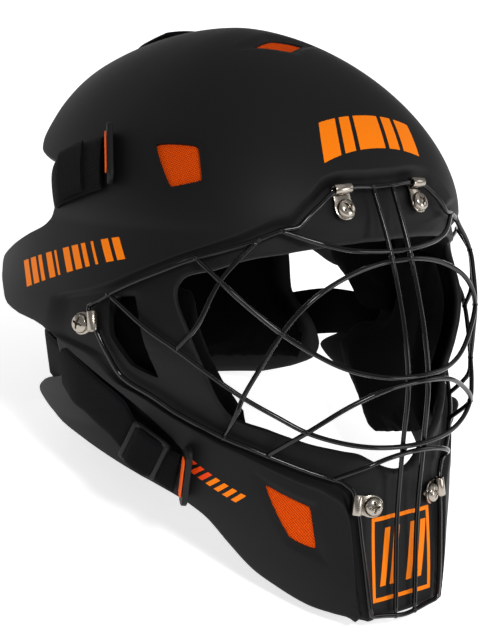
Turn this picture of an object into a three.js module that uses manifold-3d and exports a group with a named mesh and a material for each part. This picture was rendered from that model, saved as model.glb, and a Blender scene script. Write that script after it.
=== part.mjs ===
// Floorball goalie mask: a moulded plastic shell with a welded wire cage, clips and screws,
// vent meshes, soft pads, a back plate and the elastic straps that hold it.
//
// Everything is first laid out upright, in millimetres, around a point in the middle of the head:
// the wearer looks along -Y, the wearer's right hand is towards -X, and +Z is up.
// At the end the mask is leaned back until it stands on its chin and its back plate.

import * as THREE from 'three';
import { mergeVertices } from 'three/addons/utils/BufferGeometryUtils.js';
import Module from 'manifold-3d';

const wasm = await Module();
wasm.setup();

// Driving dimensions, in millimetres and degrees
const WALL = 4;
const LIP_STEP = 4;
const WIRE_RADIUS = 1.3;
const WIRE_LIFT = 3.9;
const WIRE_SIDES = 5;
const CLEAR = 0.35;
const LEAN_BACK = 23.7;
const FLOOR_CUT = 1.2;
const SCREW_HEAD_RADIUS = 4.7;
const SCREW_HOLE_RADIUS = 2.3;
const SCREW_SHANK_RADIUS = 1.9;
const PLATE_SIDE = 88;
const PLATE_BACK = 92;
const PLATE_THICK = 3;

// Level sections of the shell: height, half width, depth to the front, depth to the back,
// and the power of the rounded outline (2 is an ellipse, more is squarer).
const SECTION_MIDDLE = 1.8;
const SECTIONS = [
  [-134, 50, 132, 120, 2.6],
  [-110, 66, 131, 130, 2.3],
  [-90, 80, 130, 140, 2.05],
  [-70, 92, 127.5, 145, 1.95],
  [-50, 101, 124, 150, 1.9],
  [-30, 107, 122, 150, 1.9],
  [-10, 114, 120, 150, 2.0],
  [10, 118, 117, 150, 2.1],
  [30, 113, 114, 135, 2.2],
  [60, 103.3, 111.7, 125, 2.32],
];
// The chin is flattened: at each height nothing stands further forward than this
const CHIN_FLAT = [[-134, 124], [-110, 123.6], [-78, 122.6], [-62, 123.2], [-50, 140], [-40, 200]];
const CROWN_START = 60;
const CROWN_HEIGHT = 90.3;

// Outlines on the shell, seen from the middle of the head. The first number is the angle round
// the front axis (0 is up, 90 is the side, 180 is down), the second the angle out from that axis.
const OPENING = [
  [0, 26.5], [15, 27.5], [32, 31], [46, 37], [57, 45.5], [62, 50], [67, 56.5], [70, 57.3],
  [81, 53], [92, 49.3], [110, 45.3], [121, 37.1], [133, 31.3], [147, 26.8], [158, 25.1], [180, 26],
];
const WIRE_LINE = [
  [0, 36.9], [5, 37], [12, 37.9], [18.5, 38.8], [22, 38.9], [28, 38.5], [37.6, 38.4], [43, 40.8],
  [50.6, 44.6], [55.6, 48.4], [61.6, 54.7], [67.3, 61.6], [70.8, 66.7], [75.6, 73.9], [77.4, 76.3],
  [79, 78.6], [80.4, 78.3], [82, 76.9], [83.9, 75.6], [89.3, 72.8], [94.6, 70.3], [96.4, 68.5],
  [100.2, 63.1], [105.8, 57.7], [110.9, 52.4], [116.4, 47.4], [122, 42.8], [130.1, 38.1],
  [137.7, 34.8], [146.3, 32], [150.8, 31], [154.2, 31], [156.3, 31.6], [160.1, 34.3], [162.9, 37.3],
  [165.1, 39.8], [167.6, 43.2], [169.2, 45.4], [170, 46], [172.5, 46], [180, 46.3],
];
const STEP_LINE = [
  [0, 39.1], [5, 39.2], [12, 40.1], [18.5, 41.2], [22.5, 41.5], [28, 40.9], [37.6, 40.7],
  [43, 43.1], [50.6, 46.9], [55.6, 50.8], [61.6, 57.2], [67.3, 64.2], [70.8, 69.5], [74, 74.5],
  [76.2, 80], [78, 86.5], [86.6, 86.5], [89, 78], [90.5, 74.9], [94.6, 72.7], [97.2, 70.6],
  [100.6, 65.6], [105.8, 60], [110.9, 54.7], [116.4, 49.7], [122, 45], [130.1, 40.3],
  [137.7, 36.9], [146.3, 34], [153, 33.3], [156.6, 34.6], [160.1, 37.5], [162.9, 40.7],
  [165.1, 43.6], [167.6, 46.6], [170, 48.9], [180, 50.3],
];
const LIP_LINE = [
  [0, 75], [40, 85], [60, 84], [75, 94], [80, 99], [84, 100], [87.6, 90], [92.1, 82.3],
  [99.6, 72.3], [107, 65.6], [114.3, 60.5], [122, 57], [129.9, 53.4], [139.7, 49.9], [149.6, 48.3],
  [159.6, 48.3], [168.5, 47.6], [180, 48.9],
];
const RIM_LINE = [
  [0, 116], [20, 116], [30, 115.4], [36, 114.6], [40, 114.2], [44, 112.2], [46, 108.6],
  [48.3, 101.7], [51, 99.6], [54, 98.9], [58.6, 100.1], [61.6, 102.8], [64.5, 110.6],
  [67.5, 118.3], [70.9, 123.9], [75, 122.1], [79, 117.6], [82.2, 113.4], [84, 106], [85.2, 96],
  [87.6, 92.5], [93, 92.6], [98.8, 95.3], [102.2, 103.9], [107.1, 108.9], [109, 106.9],
  [112.8, 100.7], [115.7, 91.7], [120.2, 81.5], [125.5, 71], [132.3, 63.2], [137.7, 60.2],
  [144.6, 58.9], [150.6, 57.7], [156, 55], [160.3, 52.4], [163.9, 49.6], [166.4, 48.2],
  [168.8, 47.4], [180, 48.8],
];
// How far the face panel inside the step is set in, round the shell
const RECESS = [[0, 6], [45, 6], [65, 3.8], [105, 3.8], [130, 6], [180, 6]];
// How far the strap bed behind the lip is set in, round the shell
const LIP_DEPTH = [[0, 0], [84, 0], [87, LIP_STEP], [112, LIP_STEP], [124, 0], [180, 0]];
// How far the band between the step and the rim is set in: only the flat chin panel is
const PANEL_DEPTH = [[0, 0], [168, 0], [171.5, 6], [180, 6]];

// Places round the shell where its half is measured, closest together where the rim bends
const SHELL_TURNS = [
  0, 9, 18, 27, 35, 41, 45, 48, 51, 56, 61, 65, 70, 75, 79, 83, 86, 89, 94, 99, 103, 108, 112,
  116, 121, 128, 136, 144, 151, 157, 163, 168, 174, 180,
];

// Holes through the shell, as outlines in the same two angles
const TOP_VENT = [[7, 78.2], [0, 80.6], [-7, 78.2], [0, 74.2]];
const SIDE_VENT = [[40.3, 74.6], [37.1, 65.1], [44, 59.9], [48.3, 65.6]];
const CHIN_VENT = [[133.2, 43.6], [146.3, 38.5], [154.6, 43.6], [148.7, 46.1]];
const CHEEK_SLOT = [[76.3, 71], [74.3, 67.2], [79.2, 65.3], [96.2, 60.4], [92.4, 66.6], [85.3, 69.8]];

// Control points of the cage wires on the wearer's right: x, y, z
const BROW_ARC = [[-39.5, -107.5, 53.1], [-28.7, -111.6, 50.3], [-13.1, -114.8, 48.6], [0, -115.6, 48.2]];
const UPPER_ARC = [
  [-78.8, -88.4, -25.4], [-76.7, -91.6, -16], [-71.5, -97.8, -1.7], [-64.7, -104.9, 14.3],
  [-57.3, -108.9, 24.1], [-47.3, -112, 32], [-28.8, -115.2, 40], [-12, -116.6, 43.4], [0, -116.9, 43.8],
];
const MIDDLE_ARC = [
  [-83.4, -83.4, 38], [-77, -92, 28.5], [-64.7, -104.9, 14.3], [-52.5, -113.2, 4.7],
  [-40.6, -120, -2.4], [-28.9, -125.5, -6.4], [-15.8, -129.6, -8.8], [0, -131.2, -9.4],
];
const LOWER_ARC = [
  [-104.4, -56.3, 14.2], [-97.1, -68.1, 5.6], [-87.5, -79.8, -5.2], [-76.7, -91.6, -16],
  [-65.5, -102.9, -24.9], [-55.1, -111.7, -32.2], [-40.2, -120.1, -38], [-23.1, -126, -41.6],
  [0, -128.6, -43],
];
const RISING_ARC = [[-55.1, -111.7, -32.2], [-36.9, -122.4, -20.3], [-20.1, -128.8, -13.9], [0, -131.4, -12]];
const CHIN_ARC = [[-28.6, -121.8, -51.6], [-16.1, -126.5, -47.6], [0, -128.3, -46]];
const SIDE_WIRE = [[-83.4, -83.4, 38], [-92.2, -77, 17.2], [-97.1, -68.1, 5.6]];
const CENTRE_BAR = [
  [-6.2, -116.9, 44], [-6.6, -128.8, -8], [-7, -126.1, -44], [-6.8, -122.9, -78.6],
];

const colours = {
  shell: { color: 0x232323, roughness: 0.55, metalness: 0 },
  wire: { color: 0x0c0c0c, roughness: 0.25, metalness: 0.4 },
  nickel: { color: 0xb9afa2, roughness: 0.28, metalness: 1 },
  mesh: { color: 0xf0661a, roughness: 0.7, metalness: 0 },
  padding: { color: 0x17181b, roughness: 0.95, metalness: 0 },
  webbing: { color: 0x121317, roughness: 0.9, metalness: 0 },
  plastic: { color: 0x1b1b1c, roughness: 0.45, metalness: 0 },
  tab: { color: 0xef5a12, roughness: 0.6, metalness: 0 },
};

const mask = new THREE.Group();

// Value of a table of [key, value] rows at x, straight between the rows
function lookUp(table, x, column = 1) {
  const last = table.length - 1;
  if (x <= table[0][0]) return table[0][column];
  if (x >= table[last][0]) return table[last][column];
  const next = table.findIndex((row) => row[0] > x);
  const low = table[next - 1];
  const high = table[next];
  const share = (x - low[0]) / (high[0] - low[0]);
  return low[column] + share * (high[column] - low[column]);
}

// Above zero outside the outer surface of the shell, below zero inside it
function outsideness(point) {
  const height = Math.min(Math.max(point.z, SECTIONS[0][0]), CROWN_START);
  const rise = Math.min(Math.max((point.z - CROWN_START) / CROWN_HEIGHT, 0), 0.9999);
  const halfWidth = lookUp(SECTIONS, height, 1) * (1 - rise ** 1.69) ** (1 / 1.69);
  const front = lookUp(SECTIONS, height, 2) * (1 - rise ** 1.7) ** (1 / 1.7);
  const back = lookUp(SECTIONS, height, 3) * Math.sqrt(1 - rise ** 2);
  const power = lookUp(SECTIONS, height, 4);
  const depth = point.y < SECTION_MIDDLE ? front : back;
  const side = (Math.abs(point.x) / halfWidth) ** power;
  const section = side + (Math.abs(point.y - SECTION_MIDDLE) / depth) ** power - 1;
  return Math.max(section, -point.y - lookUp(CHIN_FLAT, point.z));
}

// Unit direction from the middle of the head for the two angles of the outlines
function direction(around, out) {
  const a = THREE.MathUtils.degToRad(around);
  const o = THREE.MathUtils.degToRad(out);
  return new THREE.Vector3(-Math.sin(o) * Math.sin(a), -Math.cos(o), Math.sin(o) * Math.cos(a));
}

// Distance from the middle of the head to the outer surface along a direction
function surfaceRadius(ray) {
  let low = 40;
  let high = 230;
  for (let i = 0; i < 40; i += 1) {
    const middle = (low + high) / 2;
    if (outsideness(ray.clone().multiplyScalar(middle)) > 0) high = middle;
    else low = middle;
  }
  return (low + high) / 2;
}

// Point at the two angles, set in from the outer surface by the given depth
function surfacePoint(around, out, inset = 0) {
  const ray = direction(around, out);
  return ray.multiplyScalar(surfaceRadius(ray) - inset);
}

// Outward normal of the outer surface at the two angles
function surfaceNormal(around, out) {
  const alongOut = surfacePoint(around, out + 1).sub(surfacePoint(around, out - 1));
  const alongAround = surfacePoint(around + 1, out).sub(surfacePoint(around - 1, out));
  const normal = alongOut.cross(alongAround).normalize();
  return normal.dot(direction(around, out)) < 0 ? normal.negate() : normal;
}

// Closed body between two grids of points with the same rows and columns.
// A closed grid runs round a ring, so its last column joins its first.
function gridSolid(top, bottom, closed = false) {
  const rows = top.length;
  const columns = top[0].length;
  const all = [...top.flat(), ...bottom.flat()];
  const upper = (i, j) => i * columns + (j % columns);
  const lower = (i, j) => rows * columns + upper(i, j);
  const index = [];
  const quad = (a, b, c, d) => index.push(a, b, c, a, c, d);
  const steps = closed ? columns : columns - 1;
  for (let i = 0; i < rows - 1; i += 1) {
    for (let j = 0; j < steps; j += 1) {
      quad(upper(i, j), upper(i, j + 1), upper(i + 1, j + 1), upper(i + 1, j));
      quad(lower(i, j), lower(i + 1, j), lower(i + 1, j + 1), lower(i, j + 1));
    }
    if (!closed) {
      quad(upper(i, 0), upper(i + 1, 0), lower(i + 1, 0), lower(i, 0));
      const j = columns - 1;
      quad(upper(i + 1, j), upper(i, j), lower(i, j), lower(i + 1, j));
    }
  }
  for (let j = 0; j < steps; j += 1) {
    const i = rows - 1;
    quad(upper(0, j + 1), upper(0, j), lower(0, j), lower(0, j + 1));
    quad(upper(i, j), upper(i, j + 1), lower(i, j + 1), lower(i, j));
  }
  return outward(all, index);
}

// Closed body between two rings of points, with flat fans over both ends
function ringSolid(near, far) {
  const count = near.length;
  const index = [];
  for (let i = 0; i < count; i += 1) {
    const next = (i + 1) % count;
    index.push(i, next, count + next, i, count + next, count + i);
  }
  for (let i = 1; i < count - 1; i += 1) {
    index.push(0, i + 1, i, count, count + i, count + i + 1);
  }
  return outward([...near, ...far], index);
}

// Geometry from points and triangles, turned inside out if its volume is negative
function outward(points, index) {
  let volume = 0;
  for (let i = 0; i < index.length; i += 3) {
    const [a, b, c] = [points[index[i]], points[index[i + 1]], points[index[i + 2]]];
    volume += a.dot(b.clone().cross(c));
  }
  if (volume < 0) {
    for (let i = 0; i < index.length; i += 3) {
      [index[i + 1], index[i + 2]] = [index[i + 2], index[i + 1]];
    }
  }
  const geometry = new THREE.BufferGeometry();
  const flat = points.flatMap((point) => [point.x, point.y, point.z]);
  geometry.setAttribute('position', new THREE.Float32BufferAttribute(flat, 3));
  geometry.setIndex(index);
  return geometry;
}

// Solid for joining and cutting, from a closed geometry
function solid(geometry) {
  const bare = geometry.clone();
  bare.deleteAttribute('normal');
  bare.deleteAttribute('uv');
  const merged = mergeVertices(bare, 1e-3);
  return new wasm.Manifold(new wasm.Mesh({
    numProp: 3,
    vertProperties: new Float32Array(merged.attributes.position.array),
    triVerts: new Uint32Array(merged.index.array),
  }));
}

// Geometry of a solid after joining and cutting
function geometryOf(body) {
  const made = body.getMesh();
  const geometry = new THREE.BufferGeometry();
  geometry.setAttribute('position', new THREE.Float32BufferAttribute(made.vertProperties, 3));
  geometry.setIndex(new THREE.Uint32BufferAttribute(made.triVerts, 1));
  return geometry;
}

function mirrored(geometry) {
  const copy = geometry.clone();
  copy.applyMatrix4(new THREE.Matrix4().makeScale(-1, 1, 1));
  const index = Array.from(copy.index.array);
  for (let i = 0; i < index.length; i += 3) [index[i + 1], index[i + 2]] = [index[i + 2], index[i + 1]];
  copy.setIndex(index);
  return copy;
}

function addPiece(name, geometry, look) {
  const piece = new THREE.Mesh(geometry, new THREE.MeshStandardMaterial(colours[look]));
  piece.name = name;
  mask.add(piece);
}

// The same piece on the wearer's right and, mirrored, on the wearer's left
function addPair(name, geometry, look) {
  const indexed = geometry.index ? geometry : mergeVertices(geometry);
  addPiece(`${name}_right`, indexed, look);
  addPiece(`${name}_left`, mirrored(indexed), look);
}

// One column of the shell: from the face opening, over the step of the face panel
// and the lip of the strap bed, out to the rim. Each entry is [angle out, depth set in].
function shellColumn(around) {
  const turn = Math.abs(around);
  const rim = lookUp(RIM_LINE, turn);
  const bed = lookUp(LIP_DEPTH, turn);
  const panel = lookUp(PANEL_DEPTH, turn);
  const step = lookUp(STEP_LINE, turn);
  const lip = lookUp(LIP_LINE, turn);
  const start = step + 0.9;
  const between = (share) => start + share * (lip - 0.7 - start);
  const beyond = (share) => lip + 0.7 + share * (rim - lip - 0.7);
  const edge = lookUp(OPENING, turn);
  const face = lookUp(RECESS, turn);
  const column = [
    [edge, face],
    [(edge + step - 0.7) / 2, face],
    [step - 0.7, face],
    [start, panel],
    [between(0.33), panel],
    [between(0.67), panel],
    [between(1), panel],
    [beyond(0), Math.max(bed, panel)],
    [beyond(0.5), Math.max(bed, panel)],
    [rim, Math.max(bed, panel)],
  ];
  const last = column.length - 1;
  column.forEach((entry, i) => {
    entry[0] = Math.min(entry[0], rim - 0.3 * (last - i));
  });
  return column;
}

function makeShell() {
  const inner = SHELL_TURNS.slice(1, -1);
  const arounds = [...inner.map((a) => -a).reverse(), ...SHELL_TURNS];
  const columns = arounds.map(shellColumn);
  const rows = columns[0].map((_, i) => i);
  const grid = (extra) => rows.map((i) => arounds.map((around, j) => {
    const [out, inset] = columns[j][i];
    return surfacePoint(around, out, inset + extra);
  }));
  return solid(gridSolid(grid(0), grid(WALL), true));
}

// Wedge through the shell under an outline, seen from the middle of the head
function throughCut(outline) {
  const ring = (radius) => outline.map(([a, o]) => direction(a, o).multiplyScalar(radius));
  return solid(ringSolid(ring(50), ring(220)));
}

// Small plate filling an outline between two depths, clear of the hole's edge
function fillPlate(outline, top, bottom) {
  const middle = outline.reduce((sum, [a, o]) => sum.add(direction(a, o)), new THREE.Vector3());
  middle.normalize();
  const ring = (inset) => outline.map(([a, o]) => {
    const ray = direction(a, o);
    const toMiddle = middle.clone().sub(ray).normalize();
    return ray.multiplyScalar(surfaceRadius(ray) - inset).addScaledVector(toMiddle, 2 * CLEAR);
  });
  return ringSolid(ring(top), ring(bottom));
}

function wirePoint(around) {
  const turn = Math.abs(around);
  return surfacePoint(around, lookUp(WIRE_LINE, turn), lookUp(RECESS, turn) - WIRE_LIFT);
}

// Round wire along a curve
function wire(points, steps, closed = false) {
  const curve = new THREE.CatmullRomCurve3(points, closed, 'centripetal');
  const shape = new THREE.Shape();
  for (let i = 0; i < WIRE_SIDES; i += 1) {
    const angle = (i / WIRE_SIDES) * 2 * Math.PI;
    const [x, y] = [WIRE_RADIUS * Math.cos(angle), WIRE_RADIUS * Math.sin(angle)];
    if (i === 0) shape.moveTo(x, y);
    else shape.lineTo(x, y);
  }
  shape.closePath();
  return solid(new THREE.ExtrudeGeometry(shape, { steps, extrudePath: curve, bevelEnabled: false }));
}

// Whole arc across the face from the control points of its right half
function acrossFace(start, half) {
  const right = [start, ...half.map((p) => new THREE.Vector3(...p))];
  const flip = (p) => new THREE.Vector3(-p.x, p.y, p.z);
  const centre = right[right.length - 1];
  if (Math.abs(centre.x) > 0.01) return right;
  return [...right, ...right.slice(0, -1).reverse().map(flip)];
}

// Half of the wire round the face panel, a little past the middle at both ends
function frameHalf(side) {
  const turns = [-1, ...WIRE_LINE.map(([around]) => around), -179];
  return turns.map(wirePoint).map((p) => new THREE.Vector3(side * p.x, p.y, p.z));
}

function makeCage() {
  const parts = [
    wire(frameHalf(1), 40),
    wire(frameHalf(-1), 40),
    wire(acrossFace(wirePoint(43.5), BROW_ARC), 8),
    wire(acrossFace(wirePoint(115.9), UPPER_ARC), 14),
    wire(acrossFace(wirePoint(61.5), MIDDLE_ARC), 12),
    wire(acrossFace(wirePoint(75.4), LOWER_ARC), 14),
    wire(acrossFace(wirePoint(126.5), RISING_ARC), 10),
    wire(acrossFace(wirePoint(147.2), CHIN_ARC), 8),
  ];
  for (const side of [1, -1]) {
    const flip = (p) => new THREE.Vector3(side * p.x, p.y, p.z);
    const bar = [wirePoint(4.7), ...CENTRE_BAR.map((p) => new THREE.Vector3(...p)), wirePoint(177.1)];
    parts.push(wire(bar.map(flip), 8));
    const sideWire = [wirePoint(49.5), ...SIDE_WIRE.map((p) => new THREE.Vector3(...p))];
    parts.push(wire(sideWire.map(flip), 4));
  }
  return parts.reduce((sum, part) => sum.add(part));
}

// Local axes of a clip: the origin on the wire, x towards the screw, z outward
function clipFrame(around, screw) {
  const origin = wirePoint(around);
  const normal = surfaceNormal(around, lookUp(WIRE_LINE, around));
  const across = screw.clone().sub(origin);
  across.addScaledVector(normal, -across.dot(normal)).normalize();
  const along = normal.clone().cross(across);
  return new THREE.Matrix4().makeBasis(across, along, normal).setPosition(origin);
}

function cylinder(radius, length, axis, sides = 8) {
  const geometry = new THREE.CylinderGeometry(radius, radius, length, sides);
  if (axis === 'z') geometry.rotateX(Math.PI / 2);
  return geometry;
}

// Clip: a flat strip under the screw that wraps round the wire as a sleeve
function makeClip(reach) {
  const strip = solid(new THREE.BoxGeometry(reach, 7.6, 0.9).translate(reach / 2, 0, -2.05));
  const end = solid(cylinder(5.3, 0.9, 'z', 9).translate(reach, 0, -2.05));
  const sleeve = solid(cylinder(3, 5.8, 'y'));
  const bore = solid(cylinder(WIRE_RADIUS + 1.2, 12, 'y'));
  const hole = solid(cylinder(SCREW_HOLE_RADIUS, 4, 'z').translate(reach, 0, -2.05));
  return strip.add(end).add(sleeve).subtract(bore).subtract(hole);
}

// Pan head screw with a cross recess, standing on the strip of its clip
function makeScrew(reach) {
  const top = 1.7;
  const seat = -1.25;
  const profile = [
    [0, seat - 7.2], [SCREW_SHANK_RADIUS, seat - 7.2], [SCREW_SHANK_RADIUS, seat],
    [SCREW_HEAD_RADIUS, seat], [SCREW_HEAD_RADIUS, seat + 1.1], [3.6, top - 0.45], [0, top],
  ].map(([x, y]) => new THREE.Vector2(x, y));
  const body = solid(new THREE.LatheGeometry(profile, 8).rotateX(Math.PI / 2).translate(reach, 0, 0));
  const slotA = solid(new THREE.BoxGeometry(4.8, 0.95, 3).translate(reach, 0, top));
  const slotB = solid(new THREE.BoxGeometry(0.95, 4.8, 3).translate(reach, 0, top));
  return body.subtract(slotA).subtract(slotB);
}

// Where each clip sits: place round the wire, distance from wire to screw, angles of the screw
const CLIPS = [
  ['brow', 17.6, 9.4, [19.6, 34.9]],
  ['side', 83, 8.6, [84.4, 81.6]],
  ['chin', 158.3, 8.6, [164.3, 31.3]],
];

// Cushion or pad on the inside of the shell between two depths
function pad(arounds, outsFrom, outsTo, top, bottom) {
  const rows = 5;
  const grid = (inset) => Array.from({ length: rows }, (_, i) => arounds.map((around, j) => {
    const share = i / (rows - 1);
    const edge = Math.max(Math.abs(share - 0.5) * 2, Math.abs(j / (arounds.length - 1) - 0.5) * 2);
    const ease = edge > 0.95 ? 3 : 0;
    const out = outsFrom[j] + share * (outsTo[j] - outsFrom[j]);
    const soft = inset === bottom ? inset - ease : inset + ease / 3;
    return surfacePoint(around, out, soft);
  }));
  return gridSolid(grid(top), grid(bottom));
}

// Band along rows of three points (edge, middle, edge), thick across its face
function band(rows, thick) {
  const last = rows.length - 1;
  const sheet = (offset) => rows.map((row, i) => {
    const along = rows[Math.min(i + 1, last)][1].clone().sub(rows[Math.max(i - 1, 0)][1]);
    const normal = along.cross(row[2].clone().sub(row[0])).normalize();
    return row.map((p) => p.clone().addScaledVector(normal, offset));
  });
  return gridSolid(sheet(thick / 2), sheet(-thick / 2));
}

// Row of a band lying on the shell, from one pair of angles to another
function shellRow([aroundA, outA, aroundB, outB], inset) {
  const middle = surfacePoint((aroundA + aroundB) / 2, (outA + outB) / 2, inset);
  return [surfacePoint(aroundA, outA, inset), middle, surfacePoint(aroundB, outB, inset)];
}

// Row of a band in the open, between two points
function freeRow(a, b) {
  const [from, to] = [new THREE.Vector3(...a), new THREE.Vector3(...b)];
  return [from, from.clone().lerp(to, 0.5), to];
}

// Point of the back plate's outer face: angle from straight back towards the right, height
function platePoint(turn, z, out = 0) {
  const t = THREE.MathUtils.degToRad(turn);
  return new THREE.Vector3(-(PLATE_SIDE + out) * Math.sin(t), (PLATE_BACK + out) * Math.cos(t), z);
}

// Row of a band lying on the back plate, upright or, with two angles, level
function plateRow(turnA, zA, turnB, zB, out) {
  const middle = platePoint((turnA + turnB) / 2, (zA + zB) / 2, out);
  return [platePoint(turnA, zA, out), middle, platePoint(turnB, zB, out)];
}

// Half angle of the back plate at each height
const PLATE_OUTLINE = [
  [-45, 48], [-41, 59], [-34, 68], [-25, 70], [-15, 69], [5, 61], [24, 60], [45, 56], [60, 47], [68, 34],
];

function plateLike(from, to, outer, inner, shrink) {
  const heights = [];
  for (let i = 0; i <= 6; i += 1) heights.push(from + (i / 6) * (to - from));
  const grid = (out) => heights.map((z) => {
    const half = lookUp(PLATE_OUTLINE, z) - shrink;
    return Array.from({ length: 11 }, (_, j) => platePoint(half * (j / 5 - 1), z, out));
  });
  return gridSolid(grid(outer), grid(inner));
}

// Local axes on the shell: x along the given direction, z outward
function surfaceFrame(around, out, inset, along) {
  const normal = surfaceNormal(around, out);
  const x = along.clone().addScaledVector(normal, -along.dot(normal)).normalize();
  const y = normal.clone().cross(x);
  return new THREE.Matrix4().makeBasis(x, y, normal).setPosition(surfacePoint(around, out, inset));
}

function roundedPlate(width, height, radius, depth) {
  const shape = new THREE.Shape();
  const [w, h] = [width / 2, height / 2];
  const corners = [[1, 1], [-1, 1], [-1, -1], [1, -1]];
  corners.forEach(([sx, sy], corner) => {
    for (let i = 0; i <= 2; i += 1) {
      const angle = (corner + i / 2) * (Math.PI / 2);
      const x = sx * (w - radius) + radius * Math.cos(angle);
      const y = sy * (h - radius) + radius * Math.sin(angle);
      if (corner === 0 && i === 0) shape.moveTo(x, y);
      else shape.lineTo(x, y);
    }
  });
  shape.closePath();
  return new THREE.ExtrudeGeometry(shape, { depth, bevelEnabled: false });
}

// Slide buckle: a flat frame with a bar across its middle
function makeBuckle(length, width, thick) {
  const bodyShape = solid(roundedPlate(length, width, 2.5, thick));
  const window = solid(new THREE.BoxGeometry(length / 2 - 4, width - 7, thick * 3));
  const place = (x) => window.translate([x, 0, thick / 2]);
  const offset = length / 4 - 0.5;
  return bodyShape.subtract(place(offset)).subtract(place(-offset));
}

const clipSets = CLIPS.map(([name, around, reach, [a, o]]) => {
  const frame = clipFrame(around, surfacePoint(a, o));
  return { name, frame, reach };
});

// The shell with its vents, its slots and the screw holes
let shell = makeShell();
shell = shell.subtract(throughCut(TOP_VENT));
for (const outline of [SIDE_VENT, CHIN_VENT, CHEEK_SLOT]) {
  shell = shell.subtract(throughCut(outline));
  shell = shell.subtract(throughCut(outline.map(([a, o]) => [-a, o]).reverse()));
}
for (const { frame, reach } of clipSets) {
  const drill = cylinder(SCREW_HOLE_RADIUS, 30, 'z').translate(reach, 0, -8).applyMatrix4(frame);
  const flat = mergeVertices(drill);
  shell = shell.subtract(solid(flat)).subtract(solid(mirrored(flat)));
}

addPiece('shell', geometryOf(shell), 'shell');
addPiece('cage', geometryOf(makeCage()), 'wire');
for (const { name, frame, reach } of clipSets) {
  addPair(`clip_${name}`, geometryOf(makeClip(reach)).applyMatrix4(frame), 'nickel');
  addPair(`screw_${name}`, geometryOf(makeScrew(reach)).applyMatrix4(frame), 'nickel');
}

addPiece('vent_mesh_top', fillPlate(TOP_VENT, 1.6, 3), 'mesh');
addPair('vent_mesh_side', fillPlate(SIDE_VENT, 1.6, 3), 'mesh');
addPair('vent_mesh_chin', fillPlate(CHIN_VENT, 1.6, 3), 'mesh');

// Soft pads inside the shell
const browTurns = [-44, -33, -22, -11, 0, 11, 22, 33, 44];
addPiece('pad_brow', pad(browTurns, browTurns.map(() => 47), browTurns.map(() => 66), 6, 16), 'padding');
const cheekTurns = [70, 78, 86, 94, 98, 106, 115, 124, 132];
const cheekFrom = [55, 52, 49.5, 47, 45.5, 43.5, 41.5, 42.5, 46];
const cheekTo = [74, 76, 78, 79, 97, 102, 96, 86, 76];
addPair('pad_cheek', pad(cheekTurns, cheekFrom, cheekTo, 12, 23), 'padding');
const sideTurns = [59, 65, 71, 77, 82, 87, 92];
const sideTo = [97, 103, 107, 108, 105, 101, 95];
addPair('pad_side', pad(sideTurns, sideTurns.map(() => 81.5), sideTo, 10.4, 22), 'padding');
const crownTurns = [-50, -37, -25, -12, 0, 12, 25, 37, 50];
addPiece('pad_crown', pad(crownTurns, crownTurns.map(() => 88), crownTurns.map(() => 97), 7.5, 16), 'padding');

// The plate behind the head with its cushion
addPiece('back_plate', plateLike(-45, 68, 0, -PLATE_THICK, 0), 'plastic');
addPiece('back_pad', plateLike(-37, 62, -PLATE_THICK - 2.9, -14, 3), 'padding');

// The elastic straps between the shell and the back plate
const topStrap = [
  ...[107, 112, 116.6].map((out) => shellRow([5.4, out, -5.4, out], -2.2)),
  freeRow([-13, 84, 124], [13, 84, 124]),
  freeRow([-13, 95, 94], [13, 95, 94]),
  ...[62, 49, 36].map((z) => plateRow(8, z, -8, z, 2.2)),
];
addPiece('strap_top', band(topStrap, 2), 'webbing');

const UPPER_STRAP = [
  [41.9, 88.2, 53.1, 82], [42.8, 90.6, 54, 84.4], [43.8, 93.4, 55, 87.4], [45.4, 97, 56.4, 91.4],
  [47.4, 101.4, 57.6, 96], [49.4, 107, 58.6, 101.6],
];
const upperStrap = [
  ...UPPER_STRAP.map((row) => shellRow(row, -2.4)),
  freeRow([-82, 58, 73], [-86, 50, 50]),
  ...[[48, 67, 42], [38, 65, 40], [28, 63, 38]].map(([t, a, b]) => plateRow(t, a, t, b, 1.8)),
];
addPair('strap_upper', band(upperStrap, 2), 'webbing');

// Each row ends with its depth: the strap climbs out of its bed towards the jaw
const LOWER_STRAP = [
  [117.6, 59, 128, 64.8, -2], [114, 64, 122.8, 70.2, -1.8], [107.6, 69, 116.8, 75.5, -0.6],
  [103, 70.8, 113.1, 78.9, 0.6], [99.9, 73.6, 110.4, 83, 1.2], [97.2, 77, 107.4, 87.1, 1.5],
  [93.6, 81.8, 105, 90.8, 1.5], [90.2, 87.6, 102.6, 94.4, 1.5],
];
const lowerStrap = [
  ...LOWER_STRAP.map((row) => shellRow(row, row[4])),
  shellRow([89.4, 94.2, 100.4, 98.6], 2.2),
  freeRow([-97, 36, 3], [-92.5, 38, -23]),
  ...[[56, 0, -26], [46, -2, -28], [36, -4, -30]].map(([t, a, b]) => plateRow(t, a, t, b, 1.8)),
];
addPair('strap_lower', band(lowerStrap, 2), 'webbing');

// Slide buckles on the lower straps and pull tabs at the strap ends
const buckleRun = surfacePoint(111.4, 71.2).sub(surfacePoint(119.7, 64.6));
const buckleFrame = surfaceFrame(115.5, 67.9, -3, buckleRun);
addPair('buckle', geometryOf(makeBuckle(21, 24, 2.4)).applyMatrix4(buckleFrame), 'plastic');

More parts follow.
